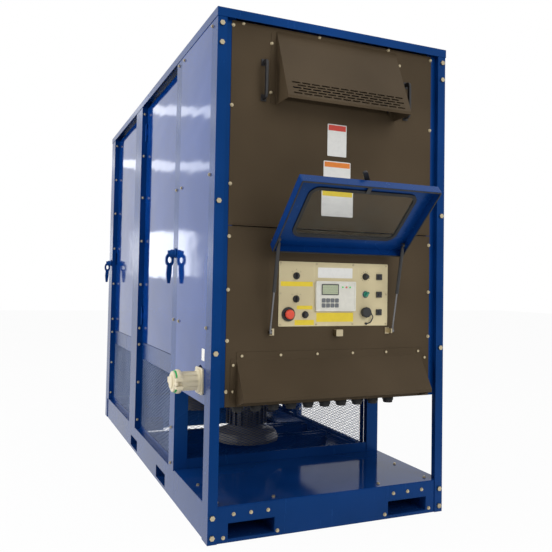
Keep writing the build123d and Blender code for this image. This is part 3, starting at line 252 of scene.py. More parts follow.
def lamp_lens(name, color, glow):
    s = Surface(name)
    ridges = s.noise(900.0, 1.0)
    return s.finish(color, 0.15 + 0.1 * ridges, 0.0, s.bump(ridges, 0.2, 0.0002), 0.8, 0.03,
                    Emission_Color=color, Emission_Strength=glow)


BLUE_GLOSS = (0.12, 0.42, 1.0)
BLUE = powder_coat("blue_powder_coat", (0.0006, 0.030, 0.150), 0.24, 0.0, 420.0, 0.25, 0.02, 0.40, BLUE_GLOSS)
GLOSS_BLUE = powder_coat("blue_gloss_coat", (0.0006, 0.034, 0.200), 0.05, 0.0, 300.0, 0.10, 0.02, 0.45, BLUE_GLOSS,
                         0.0035)
DECK_BLUE = powder_coat("deck_gloss_coat", (0.0006, 0.034, 0.170), 0.06, 0.0, 300.0, 0.05, 0.02, 0.12, BLUE_GLOSS)
# intake mesh: its blue paint lightened to a pale blue, a painted highlight for the bright glancing reflection on the
# strands
MESH_BLUE_PAINTED_HIGHLIGHT = powder_coat("mesh_blue_painted_highlight_coat", (0.26, 0.34, 0.56), 0.18, 0.0, 420.0, 0.1, 0.02, 0.6)
GREY = powder_coat("dark_panel_coat", (0.064, 0.045, 0.026), 0.50, 0.0, 900.0, 0.75, 0.03, 0.22, (1.0, 0.85, 0.65))
CREAM = powder_coat("control_plate_coat", (0.68, 0.58, 0.35), 0.38, 0.15, 600.0, 0.2, 0.0)
MOTOR = powder_coat("motor_enamel", (0.050, 0.050, 0.052), 0.40, 0.3, 300.0, 0.5, 0.6)
TAN = powder_coat("inlet_enamel", (0.66, 0.58, 0.40), 0.38, 0.35, 340.0, 0.9, 0.0)
BLACK = moulded("black_plastic", (0.016, 0.016, 0.017), 0.38)
RUBBER = moulded("black_rubber", (0.012, 0.012, 0.012), 0.62, 500.0, 0.5, 0.0, 0.2)
WHITE = moulded("white_case", (0.72, 0.70, 0.62), 0.34)
GEAR = moulded("switchgear_case", (0.17, 0.17, 0.16), 0.50)
RED = moulded("stop_head_red", (0.74, 0.055, 0.014), 0.25, 700.0, 0.2, 0.5, 0.05)
GREEN = moulded("selector_green", (0.012, 0.20, 0.13), 0.28, 700.0, 0.2, 0.5, 0.05)
GASKET = moulded("green_gasket", (0.015, 0.42, 0.10), 0.45, 500.0, 0.4, 0.1, 0.05)
KEYS = moulded("keypad_grey", (0.14, 0.15, 0.16), 0.42)
ZINC = worn_metal("zinc_yellow", (0.56, 0.48, 0.32), 0.34)
STEEL = worn_metal("rod_steel", (0.20, 0.20, 0.21), 0.24, (1.0, 1.0, 8.0), 120.0)
CHROME = worn_metal("chrome_ring", (0.82, 0.82, 0.83), 0.12, (1.0, 1.0, 1.0), 300.0, (0.6, 0.6, 0.6), 0.15)
ALUMINIUM = worn_metal("cast_aluminium", (0.55, 0.55, 0.54), 0.42, (1.0, 1.0, 1.0), 500.0)
GALVANISED = galvanised_sheet("galvanised")
ELEMENT = heated_steel("resistor_steel")
GLASS = clear_pane("window_glass")
LABEL_WHITE = printed("plate_white", (0.80, 0.79, 0.75))
LABEL_YELLOW = printed("strip_yellow", (0.80, 0.60, 0.03))
LABEL_RED = printed("band_red", (0.60, 0.05, 0.03))
LABEL_ORANGE = printed("band_orange", (0.78, 0.22, 0.02))
PRINT_DARK = printed("print_dark", (0.05, 0.05, 0.05))
DISPLAY = display_glass("display_window")
LAMP_GREEN = lamp_lens("lamp_green", (0.03, 0.50, 0.08), 0.4)
LAMP_RED = lamp_lens("lamp_red", (0.60, 0.04, 0.02), 0.3)

finishes = {
    BLUE: ["base_end_rails", "base_side_rails", "underframe", "corner_posts", "side_posts", "roof_cap",
           "rear_panel", "control_door"] + [n for n in nodes if n.startswith("door_lever_")],
    DECK_BLUE: ["deck_plate"],
    GLOSS_BLUE: ["side_panels"] + [n for n in nodes if n.startswith("bay_door_")],
    GREY: ["front_panel_upper", "front_panel_lower", "vent_hood", "vent_screen", "connector_hood", "connector_plate"],
    BLACK: ["panel_handles", "cable_connectors", "control_bezels", "pendant_connector", "door_latch",
            "strut_cylinder_left", "strut_cylinder_right", "selector_upper", "selector_lower", "push_button",
            "test_knob", "breaker_button_1", "breaker_button_2", "breaker_button_3"],
    GALVANISED: ["exhaust_grilles", "fan_deck", "resistor_racks"],
    ZINC: ["door_fittings", "post_bolts"],
    STEEL: ["strut_rod_left", "strut_rod_right"],
    ALUMINIUM: ["fan_rotor_front", "fan_rotor_rear"],
    TAN: ["inlet_body", "inlet_cap"],
    CREAM: ["control_plate"],
    WHITE: ["controller_body"],
    MOTOR: ["fan_motors"],
    ELEMENT: ["resistor_elements"],
    GEAR: ["contactor_panel"],
    RUBBER: ["door_rubber"],
    GLASS: ["window_pane"],
    RED: ["stop_head"],
    GREEN: ["power_selector"],
}


def coat(piece, material):
    piece.data.materials.clear()
    piece.data.materials.append(material)


for material, names in finishes.items():
    for name in names:
        coat(nodes[name], material)


# --------------------------------------------------------------- modelling by hand
def alone(piece):
    """Makes this piece the only one selected, and the active one."""
    bpy.ops.object.select_all(action="DESELECT")
    piece.select_set(True)
    bpy.context.view_layer.objects.active = piece


def started(name):
    """The primitive just added, named, with nothing in it selected."""
    piece = bpy.context.view_layer.objects.active
    piece.name = name
    piece.data.name = name
    return piece


def pick(piece, kind, test):
    """Selects the vertices, edges or faces that pass the test, from inside edit mode."""
    bpy.ops.object.mode_set(mode="OBJECT")
    mesh = piece.data
    for group in (mesh.vertices, mesh.edges, mesh.polygons):
        group.foreach_set("select", [False] * len(group))
    chosen = {"VERT": mesh.vertices, "EDGE": mesh.edges, "FACE": mesh.polygons}[kind]
    for part in chosen:
        if kind == "VERT":
            part.select = test(part.co)
        elif kind == "EDGE":
            part.select = test(*(mesh.vertices[i].co for i in part.vertices))
        else:
            part.select = test(part)
    bpy.ops.object.mode_set(mode="EDIT")
    bpy.ops.mesh.select_mode(type=kind)


def settle(piece, body, material, smooth=35.0):
    """Puts a finished piece's place into its mesh, coats it and lets it ride."""
    if bpy.context.object and bpy.context.object.mode != "OBJECT":
        bpy.ops.object.mode_set(mode="OBJECT")
    alone(piece)
    bpy.ops.object.transform_apply(location=True, rotation=True, scale=True)
    bpy.ops.object.shade_smooth_by_angle(angle=radians(smooth))
    coat(piece, material)
    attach(piece, body)
    return piece


def slab(name, low, high, corner, edge=0.0004):
    """A flat plate between two corners, its outline corners rounded and its edges broken."""
    middle = [(a + b) / 2 for a, b in zip(low, high)]
    size = [b - a for a, b in zip(low, high)]
    thin = size.index(min(size))
    bpy.ops.object.select_all(action="DESELECT")
    bpy.ops.mesh.primitive_cube_add(size=1.0, location=middle, scale=size)
    piece = started(name)
    bpy.ops.object.transform_apply(location=True, rotation=True, scale=True)
    bpy.ops.object.mode_set(mode="EDIT")
    pick(piece, "EDGE", lambda a, b: abs(a[thin] - b[thin]) > 0.5 * size[thin])
    bpy.ops.mesh.bevel(offset=corner, segments=3)
    if edge:
        pick(piece, "FACE", lambda f: abs(f.normal[thin]) > 0.9)
        bpy.ops.mesh.bevel(offset=min(edge, size[thin] * 0.3), segments=1)
    bpy.ops.object.mode_set(mode="OBJECT")
    return piece


def joined(name, parts):
    """One piece made of several finished ones."""
    bpy.ops.object.select_all(action="DESELECT")
    for part in parts:
        part.select_set(True)
    bpy.context.view_layer.objects.active = parts[0]
    bpy.ops.object.join()
    parts[0].name = name
    parts[0].data.name = name
    return parts[0]


def copied(master, name, matrices):
    """Copies of the master, each with its own mesh, one at each matrix, joined."""
    parts = []
    for index, matrix in enumerate(matrices):
        part = master.copy()
        part.data = master.data.copy()
        part.data.transform(matrix)
        part.name = f"{name}_{index}"
        bpy.context.scene.collection.objects.link(part)
        parts.append(part)
    return joined(name, parts)


def discard(piece):
    bpy.data.objects.remove(piece, do_unlink=True)


FACING = {
    "front": Matrix.Identity(4),
    "back": Matrix.Rotation(pi, 4, "Z"),
    "left": Matrix.Rotation(-pi / 2, 4, "Z"),
    "right": Matrix.Rotation(pi / 2, 4, "Z"),
    "up": Matrix.Rotation(-pi / 2, 4, "X"),
}


def at(point, facing="front", turn=0.0):
    """A fastener's place: where it sits, the way it faces, and how far it is turned."""
    return Matrix.Translation(point) @ FACING[facing] @ Matrix.Rotation(radians(turn), 4, "Y")


def flanged_screw():
    """Hexagon head on its washer, facing the front, seated at the origin."""
    bpy.ops.object.select_all(action="DESELECT")
    bpy.ops.mesh.primitive_cylinder_add(vertices=12, radius=0.0078, depth=0.0016, location=(0, -0.0008, 0),
                                        rotation=(pi / 2, 0, 0))
    washer = started("screw_washer")
    bpy.ops.object.transform_apply(location=True, rotation=True, scale=True)
    bpy.ops.object.mode_set(mode="EDIT")
    pick(washer, "FACE", lambda f: f.normal.y < -0.9)
    bpy.ops.mesh.inset(thickness=0.0008, depth=0.0004)
    bpy.ops.object.mode_set(mode="OBJECT")
    bpy.ops.object.select_all(action="DESELECT")
    bpy.ops.mesh.primitive_cylinder_add(vertices=6, radius=0.0062, depth=0.005, location=(0, -0.0040, 0),
                                        rotation=(pi / 2, 0, 0))
    head = started("screw_head")
    bpy.ops.object.transform_apply(location=True, rotation=True, scale=True)
    bpy.ops.object.mode_set(mode="EDIT")
    pick(head, "FACE", lambda f: f.normal.y < -0.9)
    bpy.ops.mesh.inset(thickness=0.0009, depth=0.0006)
    bpy.ops.object.mode_set(mode="OBJECT")
    return joined("flanged_screw", [washer, head])


def pan_screw():
    """Small domed screw with a cross recess, facing the front."""
    bpy.ops.object.select_all(action="DESELECT")
    bpy.ops.mesh.primitive_cylinder_add(vertices=12, radius=0.0042, depth=0.0022, location=(0, -0.0011, 0),
                                        rotation=(pi / 2, 0, 0))
    head = started("pan_screw")
    bpy.ops.object.transform_apply(location=True, rotation=True, scale=True)
    bpy.ops.object.mode_set(mode="EDIT")
    pick(head, "FACE", lambda f: f.normal.y < -0.9)
    bpy.ops.mesh.inset(thickness=0.0011, depth=0.0005)
    bpy.ops.mesh.inset(thickness=0.0012, depth=0.0)
    bpy.ops.mesh.inset(thickness=0.0004, depth=-0.0009)
    bpy.ops.object.mode_set(mode="OBJECT")
    return head


def expanded_sheet(name, across, high, long_way=0.030, short_way=0.0125, strand=0.0023):
    """Expanded metal in the X-Z plane, centred at the origin: diamond openings between flat strands."""
    count = int(across / long_way + high / short_way) + 3
    bpy.ops.object.select_all(action="DESELECT")
    bpy.ops.mesh.primitive_grid_add(x_subdivisions=count, y_subdivisions=count, size=float(count))
    piece = started(name)
    turned = Matrix.Rotation(pi / 2, 4, "X") @ Matrix.Diagonal((long_way / 2 ** 0.5, short_way / 2 ** 0.5, 1, 1)) \
        @ Matrix.Rotation(pi / 4, 4, "Z")
    piece.data.transform(turned)
    bpy.ops.object.mode_set(mode="EDIT")
    for axis, half in ((0, across / 2), (2, high / 2)):
        for sign in (-1.0, 1.0):
            side = Vector((0, 0, 0))
            side[axis] = sign
            bpy.ops.mesh.select_all(action="SELECT")
            bpy.ops.mesh.bisect(plane_co=side * half, plane_no=side, clear_outer=True)
    bpy.ops.object.mode_set(mode="OBJECT")
    wires = piece.modifiers.new("strands", "WIREFRAME")
    wires.thickness = strand
    wires.use_even_offset = False
    wires.use_replace = True
    wires.use_boundary = True
    alone(piece)
    bpy.ops.object.modifier_apply(modifier="strands")
    return piece


def frame_of(node, name, screen):
    """A copy of a CAD node without the flat sheet that stands for its screen."""
    piece = nodes[node].copy()
    piece.data = nodes[node].data.copy()
    piece.name = name
    piece.parent = None
    for key in list(piece.keys()):
        del piece[key]
    bpy.context.scene.collection.objects.link(piece)
    alone(piece)
    bpy.ops.object.mode_set(mode="EDIT")
    bpy.ops.mesh.select_all(action="SELECT")
    bpy.ops.mesh.remove_doubles(threshold=0.00001)
    pick(piece, "VERT", screen)
    bpy.ops.mesh.delete(type="VERT")
    bpy.ops.object.mode_set(mode="OBJECT")
    return piece


# ------------------------------------------------------------------------ screens
SEAT_GAP = 0.0003
BULKHEAD_FRONT = BULKHEAD_POST + 0.004 + SEAT_GAP
bulkhead = frame_of("bulkhead", "bulkhead_sheet",
                    lambda p: BULKHEAD_FRONT + 0.0021 < p.y < BULKHEAD_FRONT + 0.0042)
settle(bulkhead, CABINET, BLUE)
lattice = expanded_sheet("bulkhead_lattice", 1.080, 0.356)
lattice.location = (0, BULKHEAD_FRONT + 0.0034, 0.349)
settle(lattice, CABINET, BLUE)
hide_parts("bulkhead")

intake = frame_of("intake_panels", "intake_frames",
                  lambda p: (abs(p.z - 0.153) < 0.0004 or abs(p.z - 0.574) < 0.0004)
                  and DOOR_FACE - 0.0041 < abs(p.x) < DOOR_FACE - 0.0021)
settle(intake, CABINET, BLUE)
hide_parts("intake_panels")
BAYS = ((BULKHEAD_POST + BULKHEAD_POST_DEPTH, MIDDLE_POST), (MIDDLE_POST + MIDDLE_POST_DEPTH, REAR_POST))
for start, end in BAYS:
    lattice = expanded_sheet("intake_lattice", end - start - 0.010, 0.415, 0.042, 0.017, 0.0030)
    master_turn = Matrix.Translation((DOOR_FACE - 0.0036, (start + end) / 2, 0.3635)) @ FACING["right"]
    mirrored = Matrix.Translation((-DOOR_FACE + 0.0036, (start + end) / 2, 0.3635)) @ FACING["left"]
    both = copied(lattice, "intake_lattice_pair", [master_turn, mirrored])
    discard(lattice)
    # the mesh's pale blue is the blue paint with a painted glancing highlight
    settle(both, CABINET, MESH_BLUE_PAINTED_HIGHLIGHT)


# ------------------------------------------- folded returns behind the bulkhead posts
RETURN_Y = BULKHEAD_POST + BULKHEAD_POST_DEPTH
for side, sign in (("left", -1), ("right", 1)):
    for index, (z0, z1) in enumerate(((0.1410, 1.148), (1.248, 2.096))):
        inner, outer = sign * 0.5262, sign * 0.5524
        strip = slab(f"post_return_{side}_{index}", (min(inner, outer), RETURN_Y - 0.004, z0),
                     (max(inner, outer), RETURN_Y, z1), 0.0008, 0.0)
        settle(strip, CABINET, BLUE)


# ---------------------------------------------------------------- turned pieces
def turned_piece(name, profile, centre, facing, steps=40):
    """A turned shape, drawn out circle by circle from (radius, distance out) steps, facing the
    way given. It is closed at both ends, or a ring where its last step is its first."""
    is_ring = profile[0] == profile[-1]
    radius, out = profile[0]
    bpy.ops.object.select_all(action="DESELECT")
    bpy.ops.mesh.primitive_circle_add(vertices=steps, radius=radius, location=(0, -out, 0), rotation=(pi / 2, 0, 0),
                                      fill_type="NOTHING" if is_ring else "NGON")
    piece = started(name)
    bpy.ops.object.transform_apply(location=True, rotation=True, scale=True)
    bpy.ops.object.mode_set(mode="EDIT")
    bpy.ops.mesh.select_mode(type="EDGE")
    bpy.ops.mesh.select_all(action="SELECT")
    for next_radius, next_out in profile[1:]:
        bpy.ops.mesh.extrude_region_move(TRANSFORM_OT_translate={"value": (0, out - next_out, 0)})
        grow = next_radius / radius
        bpy.ops.transform.resize(value=(grow, 1, grow), center_override=(0, 0, 0))
        radius, out = next_radius, next_out
    bpy.ops.mesh.select_all(action="SELECT")
    bpy.ops.mesh.remove_doubles(threshold=0.00001)
    bpy.ops.mesh.normals_make_consistent(inside=False)
    bpy.ops.object.mode_set(mode="OBJECT")
    piece.data.transform(Matrix.Translation(centre) @ FACING[facing])
    return piece


INLET = Vector((-SIDE - SEAT_GAP, FRONT + 0.142, 0.622))
barrel = turned_piece("inlet_barrel", [
    (0.034, 0.052), (0.034, 0.104), (0.0400, 0.1055), (0.0470, 0.1050), (0.0490, 0.102), (0.0490, 0.090),
    (0.0470, 0.087), (0.0400, 0.086), (0.0385, 0.082), (0.0385, 0.022), (0.0405, 0.019), (0.0480, 0.016),
    (0.0500, 0.013), (0.0500, 0.008)], INLET, "left")
flange = slab("inlet_flange", (INLET.x - 0.009, INLET.y - 0.053, INLET.z - 0.054),
              (INLET.x, INLET.y + 0.053, INLET.z + 0.054), 0.014, 0.0015)
ribs = []
for index in range(10):
    rib = slab("rib", (INLET.x - 0.080, -0.0016, 0.0370), (INLET.x - 0.016, 0.0016, 0.0402), 0.0008, 0.0)
    rib.data.transform(Matrix.Translation((0, INLET.y, INLET.z)) @ Matrix.Rotation(index * pi / 5 + 0.2, 4, "X"))
    ribs.append(rib)
ears = [slab("ear", (INLET.x - 0.1205, INLET.y - 0.076, INLET.z + z0),
             (INLET.x - 0.088, INLET.y - 0.044, INLET.z + z1), 0.005, 0.0)
        for z0, z1 in ((-0.021, -0.0095), (0.0095, 0.021))]
inlet = settle(joined("inlet_housing", [barrel, flange] + ears + ribs), CABINET, TAN)
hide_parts("inlet_body")
pins = [turned_piece("pin", [(0.0055, 0.050), (0.0055, 0.095), (0.004, 0.098)],
                     INLET + Vector((0, 0.019 * cos(a), 0.019 * sin(a))), "left", 16)
        for a in (pi / 4, 3 * pi / 4, 5 * pi / 4, 7 * pi / 4)]
settle(joined("inlet_pins", pins), CABINET, STEEL)
cap = turned_piece("inlet_cover_disc", [
    (0.0400, 0.1110), (0.0425, 0.1120), (0.0425, 0.1180), (0.0400, 0.1205), (0.0300, 0.1215), (0.0285, 0.1255),
    (0.0265, 0.1265)], INLET, "left")
arm = slab("cover_arm", (INLET.x - 0.1200, INLET.y - 0.0765, INLET.z - 0.0080),
           (INLET.x - 0.1115, INLET.y - 0.040, INLET.z + 0.0080), 0.003, 0.0)
tab = slab("cover_tab", (INLET.x - 0.1210, INLET.y + 0.046, INLET.z - 0.012),
           (INLET.x - 0.1130, INLET.y + 0.066, INLET.z + 0.012), 0.004, 0.0)
cover = settle(joined("inlet_cover", [cap, arm, tab]), "inlet_cap", TAN)
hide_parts("inlet_cap")
gasket = turned_piece("inlet_gasket", [(0.0350, 0.1058), (0.0440, 0.1058), (0.0452, 0.1070), (0.0452, 0.1108),
                                       (0.0350, 0.1108), (0.0350, 0.1058)], INLET, "left")
settle(gasket, "inlet_cap", GASKET)

CONNECTORS, CONNECTOR_PITCH, CONNECTOR_Y = 10, 0.084, FRONT + 0.186
connector_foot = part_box("cable_connectors")[0].z
glands = []
for index in range(CONNECTORS):
    gland = turned_piece("gland", [
        (0.0205, -0.004), (0.0250, -0.004), (0.0260, -0.0025), (0.0260, 0.008), (0.0245, 0.010), (0.0225, 0.011),
        (0.0225, 0.017), (0.0210, 0.021), (0.0140, 0.022)], (0, 0, 0), "front", 20)
    gland_x = (index - (CONNECTORS - 1) / 2) * CONNECTOR_PITCH
    gland.data.transform(Matrix.Translation((gland_x, CONNECTOR_Y, connector_foot)) @ Matrix.Rotation(pi / 2, 4, "X"))
    glands.append(gland)
settle(joined("connector_glands", glands), CABINET, RUBBER)


# ---------------------------------------------------------------- padlockable levers
LEVER_REACH = 0.62                # share of the spindle's overhang that the handle keeps
for node in [n for n in nodes if n.startswith("door_lever_")]:
    handle = frame_of(node, node.replace("door_lever", "lever_handle"), lambda p: False)
    side = -1.0 if "left" in node else 1.0
    pick(handle, "VERT", lambda p: abs(p.x) > SIDE + 0.001)
    bpy.ops.transform.resize(value=(LEVER_REACH, 1, 1), center_override=(side * SIDE, 0, 0))
    bpy.ops.object.mode_set(mode="OBJECT")
    settle(handle, node, BLUE)
    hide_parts(node)


# ---------------------------------------------------------------------- fasteners
def mm(*numbers):
    return tuple(n / 1000 for n in numbers)


panel_places = [(-485, z) for z in (2078, 1748, 1427, 1214, 998, 793, 590)]
panel_places += [(485, z) for z in (2080, 1750, 1427, 1215, 999, 796)] + [(465, 701)]
panel_places += [(-441, 2092), (-93, 2092), (255, 2092)]
panel_places += [(x, 731) for x in (-422, -251, -82, 89, 259, 429)]
panel_places += [(-458, 695), (-458, 590), (458, 640), (458, 590)]
panel_places += [(x, z) for x in (-314, 314) for z in (2028, 1821)]
screw = flanged_screw()
turns = [(i * 47) % 60 for i in range(80)]
spots = [at((*mm(x), PANEL, *mm(z)), "front", turn) for (x, z), turn in zip(panel_places, turns)]
settle(copied(screw, "front_panel_screws", spots), CABINET, ZINC)

base_face = FRONT + 0.0023 + 0.0043
base_places = [(-448, 109), (-374, 108), (-300, 108), (-490, 21), (-258, 20), (298, 108), (372, 109), (447, 109),
               (254, 21), (486, 22)]
spots = [at((*mm(x), base_face, *mm(z)), "front", turn) for (x, z), turn in zip(base_places, turns)]
spots += [at((*mm(x), -base_face, *mm(z)), "back", turn) for (x, z), turn in zip(base_places, turns)]
settle(copied(screw, "base_screws", spots), CABINET, ZINC)

flush_places = [(515, z) for z in (2074, 1467, 844)] + [(612, z) for z in (2076, 1469, 846, 334, 167)]
flush_places += [(70, z) for z in (2076, 1464, 842)]
post_heights = (2056, 1796, 1539, 1273, 1008, 743, 645, 417, 192)
spots = []
for facing, sign in (("left", -1), ("right", 1)):
    for turn, (d, z) in zip(turns, flush_places):
        spots.append(at((sign * SIDE, FRONT + d / 1000, z / 1000), facing, turn))
    for strip_y in (MIDDLE_POST, REAR_POST):
        for turn, z in zip(turns, post_heights):
            spots.append(at((sign * SCREW_STRIP, strip_y, z / 1000), "front", turn))
settle(copied(screw, "side_screws", spots), CABINET, ZINC)

deck_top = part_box("deck_plate")[1].z
deck_places = [(-511, -1049), (-262, -1307), (242, -1307), (489, -1059), (494, -1298), (-505, -1298)]
spots = [at((*mm(x, y), deck_top), "up", turn) for (x, y), turn in zip(deck_places, turns)]
settle(copied(screw, "deck_screws", spots), CABINET, ZINC)
discard(screw)

small = pan_screw()
plate_places = [(x, z) for x in (-256, 256) for z in (1112, 986, 856)]
plate_places += [(x, z) for x in (-90, 87) for z in (1112, 856)]
plate_places += [(x, z) for x in (-88, 88) for z in (1032, 920)]
spots = [at((*mm(x), PLATE_FACE, *mm(z)), "front", turn) for (x, z), turn in zip(plate_places, turns)]
settle(copied(small, "plate_screws", spots), CABINET, ZINC)
discard(small)


# ------------------------------------------------------------- plates and printing
def plate(name, x0, x1, z0, z1, face, thick, material, corner=0.004):
    """A flat printed plate on a front-facing surface."""
    made = slab(name, (*mm(x0), face - thick, *mm(z0)), (*mm(x1), face, *mm(z1)), corner, 0.0002)
    return settle(made, CABINET, material)


plate("upper_plate", -47, 46, 1582, 1722, PANEL, 0.0012, LABEL_WHITE)
plate("upper_plate_band", -43, 42, 1694, 1718, PANEL - 0.0012, 0.0003, LABEL_RED, 0.002)
plate("middle_plate", -64, 68, 1482, 1560, PANEL, 0.0012, LABEL_WHITE)
plate("middle_plate_band", -60, 64, 1534, 1556, PANEL - 0.0012, 0.0003, LABEL_ORANGE, 0.002)
plate("lower_plate", -72, 82, 1320, 1450, PANEL, 0.0012, LABEL_WHITE)
plate("lower_plate_band", -68, 78, 1408, 1446, PANEL - 0.0012, 0.0003, LABEL_YELLOW, 0.002)

strips = [(-256, -108, 1016, 1036), (-181, -108, 919, 935), (-190, -100, 853, 875), (-89, 90, 866, 905)]
for index, (x0, x1, z0, z1) in enumerate(strips):
    plate(f"yellow_strip_{index}", x0, x1, z0, z1, PLATE_FACE, 0.0003, LABEL_YELLOW, 0.002)
plate("name_strip", -84, 84, 1054, 1098, PLATE_FACE, 0.0003, LABEL_WHITE, 0.003)

# dial ticks round the knob and the selectors
ticks = []
for x, z, reach, angles in ((-185, 1060, 24, (-45, 0, 45)), (-185, 963, 24, (-45, 45)),
                            (149, 1063, 19, range(-135, 136, 27))):
    for angle in angles:
        a = radians(angle)
        tick = slab("tick", (-0.0006, -0.00012, 0), (0.0006, 0.00012, 0.005), 0.0002, 0)
        tick.data.transform(Matrix.Translation((x / 1000, PLATE_FACE, z / 1000)) @ Matrix.Rotation(a, 4, "Y")
                            @ Matrix.Translation((0, 0, reach / 1000)))
        ticks.append(tick)
settle(joined("dial_ticks", ticks), CABINET, PRINT_DARK)

# controller face: display, keys and lamps
face_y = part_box("controller_body")[0].y
screen = slab("controller_display", (-0.067, face_y - 0.0008, 0.985), (0.007, face_y, 1.024), 0.002, 0.0003)
settle(screen, CABINET, DISPLAY)
bezel = slab("display_bezel", (-0.071, face_y - 0.0005, 0.981), (0.011, face_y + 0.0001, 1.028), 0.003, 0.0002)
settle(bezel, CABINET, PRINT_DARK)
KEY_PITCH, KEY_WIDTH = 0.0212, 0.0175
keys = []
for row in range(2):
    for column in range(4):
        x0 = -0.070 + column * KEY_PITCH
        z0 = 0.928 + row * KEY_PITCH
        keys.append(slab("key", (x0, face_y - 0.0012, z0), (x0 + KEY_WIDTH, face_y + 0.0002, z0 + KEY_WIDTH),
                         0.003, 0.0004))
settle(joined("controller_keys", keys), CABINET, KEYS)


def lamp(name, x, z, face, radius, material):
    """A small domed indicator lens."""
    bpy.ops.object.select_all(action="DESELECT")
    bpy.ops.mesh.primitive_cylinder_add(vertices=16, radius=radius, depth=0.002, location=(x, face - 0.001, z),
                                        rotation=(pi / 2, 0, 0))
    lens = started(name)
    bpy.ops.object.transform_apply(location=True, rotation=True, scale=True)
    bpy.ops.object.mode_set(mode="EDIT")
    pick(lens, "FACE", lambda f: f.normal.y < -0.9)
    bpy.ops.mesh.inset(thickness=radius * 0.35, depth=radius * 0.25)
    bpy.ops.mesh.inset(thickness=radius * 0.35, depth=radius * 0.12)
    bpy.ops.object.mode_set(mode="OBJECT")
    return settle(lens, CABINET, material, 60.0)


for index, (x, material) in enumerate(((0.030, LAMP_GREEN), (0.048, LAMP_RED), (0.066, LAMP_GREEN))):
    lamp(f"controller_lamp_{index}", x, 1.015, face_y, 0.0035, material)


def ring(name, centre, major, minor, facing, body, material, squash_to=1.0):
    """A moulded ring round a round opening, facing the way its opening does."""
    bpy.ops.object.select_all(action="DESELECT")
    bpy.ops.mesh.primitive_torus_add(major_segments=48, minor_segments=10, major_radius=major, minor_radius=minor)
    made = started(name)
    made.data.transform(Matrix.Translation(centre) @ FACING[facing] @ Matrix.Rotation(pi / 2, 4, "X")
                        @ Matrix.Diagonal((1, 1, squash_to, 1)))
    return settle(made, body, material, 60.0)


ring("stop_ring", (-0.220, PLATE_FACE - 0.001, 0.899), 0.0265, 0.0035, "front", CABINET,
     LABEL_YELLOW, 0.4)
for name, x, z, radius in (("power_ring", 0.149, 0.985, 0.0145), ("button_ring", -0.142, 0.897, 0.0135)):
    ring(name, (x, PLATE_FACE - 0.0012, z), radius, 0.0016, "front", CABINET, CHROME, 0.9)

side_plate = slab("side_plate", (-SIDE - 0.0010, FRONT + 0.088, 0.706), (-SIDE, FRONT + 0.128, 0.755), 0.003, 0.0002)
settle(side_plate, CABINET, LABEL_WHITE)

# ------------------------------------------------------------------- stage, light
bpy.ops.object.select_all(action="DESELECT")
bpy.ops.mesh.primitive_plane_add(size=40.0, location=(0, 0, -0.001))
floor = started("studio_floor")
floor_surface = Surface("studio_floor")
paths = [floor_surface.add("ShaderNodeLightPath", None, None, f"Is {kind} Ray")
         for kind in ("Camera", "Glossy", "Transmission")]
shown = paths[0].math("MAXIMUM", paths[1]).math("MAXIMUM", paths[2])
diffuse = floor_surface.add("ShaderNodeBsdfDiffuse", None, {"Color": (0.80, 0.80, 0.80)})
backdrop = floor_surface.add("ShaderNodeEmission", None, {"Color": (1.0, 1.0, 1.0), "Strength": 1.0})
mixed = floor_surface.add("ShaderNodeMixShader", None, [shown * 0.96, diffuse, backdrop])
floor_surface.tree.links.new(mixed.socket, floor_surface.output.inputs["Surface"])
coat(floor, floor_surface.material)

world = bpy.data.worlds.new("studio")
bpy.context.scene.world = world
world.use_nodes = True
tree = world.node_tree
tree.nodes.clear()
seen = tree.nodes.new("ShaderNodeLightPath")
sees_white = seen.outputs["Is Camera Ray"]
for kind in ("Is Glossy Ray", "Is Transmission Ray"):
    either = tree.nodes.new("ShaderNodeMath")
    either.operation = "MAXIMUM"
    tree.links.new(sees_white, either.inputs[0])
    tree.links.new(seen.outputs[kind], either.inputs[1])
    sees_white = either.outputs[0]
soft = tree.nodes.new("ShaderNodeBackground")
soft.inputs["Color"].default_value = (0.95, 0.97, 1.0, 1.0)
soft.inputs["Strength"].default_value = 0.32
white = tree.nodes.new("ShaderNodeBackground")
white.inputs["Color"].default_value = (1.0, 1.0, 1.0, 1.0)
white.inputs["Strength"].default_value = 1.0
chooser = tree.nodes.new("ShaderNodeMixShader")
tree.links.new(sees_white, chooser.inputs[0])
tree.links.new(soft.outputs[0], chooser.inputs[1])
tree.links.new(white.outputs[0], chooser.inputs[2])
out = tree.nodes.new("ShaderNodeOutputWorld")
tree.links.new(chooser.outputs[0], out.inputs["Surface"])


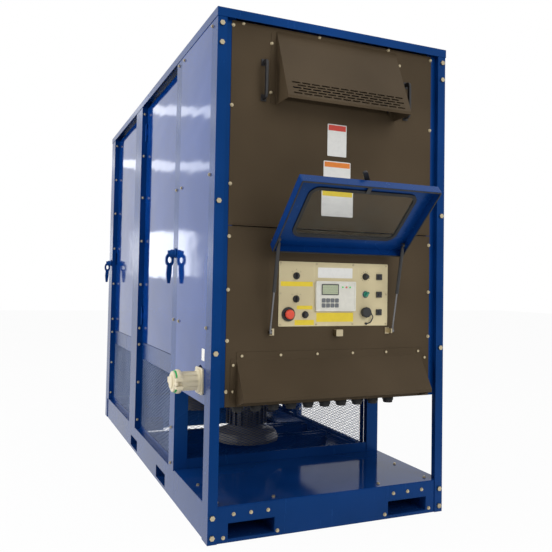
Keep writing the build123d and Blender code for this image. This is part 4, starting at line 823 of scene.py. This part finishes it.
def softbox(name, where, aim, size, power, mirrored=False):
    data = bpy.data.lights.new(name, "AREA")
    data.shape = "RECTANGLE"
    data.size = size[0]
    data.size_y = size[1]
    data.energy = power
    lamp_object = bpy.data.objects.new(name, data)
    bpy.context.scene.collection.objects.link(lamp_object)
    lamp_object.location = where
    lamp_object.rotation_euler = (Vector(aim) - Vector(where)).to_track_quat("-Z", "Y").to_euler()
    lamp_object.visible_glossy = mirrored


softbox("window_side", (-5.0, -0.5, 2.4), (-0.5, 0.0, 1.2), (4.5, 3.0), 190.0)
softbox("front_soft", (1.5, -6.0, 3.2), (0.0, -1.3, 1.0), (4.0, 3.0), 130.0)
softbox("ceiling", (0.0, -1.0, 5.5), (0.0, -0.5, 0.0), (5.0, 5.0), 110.0)
# bright shapes that the glossy side panels mirror
softbox("far_window", (-2.5, 8.0, 1.55), (-0.6, 0.0, 1.2), (1.0, 0.8), 7.0, True)
softbox("far_strip_low", (-2.4, 7.0, 3.0), (-0.6, 0.0, 1.6), (2.6, 0.14), 2.0, True)
softbox("far_strip_high", (-2.3, 6.0, 3.7), (-0.6, 0.0, 1.8), (2.6, 0.14), 2.0, True)

# ------------------------------------------------------------------------- camera
FRAME_SIDE = 552.0                # the picture is square
FOCAL_LENGTH = 649.56             # against that side
yaw, pitch, roll = radians(23.47), radians(2.11), radians(0.98)
forward = Vector((sin(yaw) * cos(pitch), cos(yaw) * cos(pitch), sin(pitch)))
level = Vector((cos(yaw), -sin(yaw), 0.0))
upright = level.cross(forward)
across = cos(roll) * level + sin(roll) * upright
upward = -sin(roll) * level + cos(roll) * upright
eye = bpy.data.cameras.new("camera")
camera = bpy.data.objects.new("camera", eye)
bpy.context.scene.collection.objects.link(camera)
camera.matrix_world = Matrix.Translation((-1.3214, -3.8136, 1.0216)) @ Matrix(
    (across, upward, -forward)).transposed().to_4x4()
eye.sensor_width = 36.0
eye.lens = FOCAL_LENGTH * eye.sensor_width / FRAME_SIDE
eye.shift_x = (FRAME_SIDE / 2 - 283.97) / FRAME_SIDE
eye.shift_y = (260.82 - FRAME_SIDE / 2) / FRAME_SIDE
eye.clip_end = 100.0
bpy.context.scene.camera = camera
bpy.context.scene.view_settings.view_transform = "Standard"
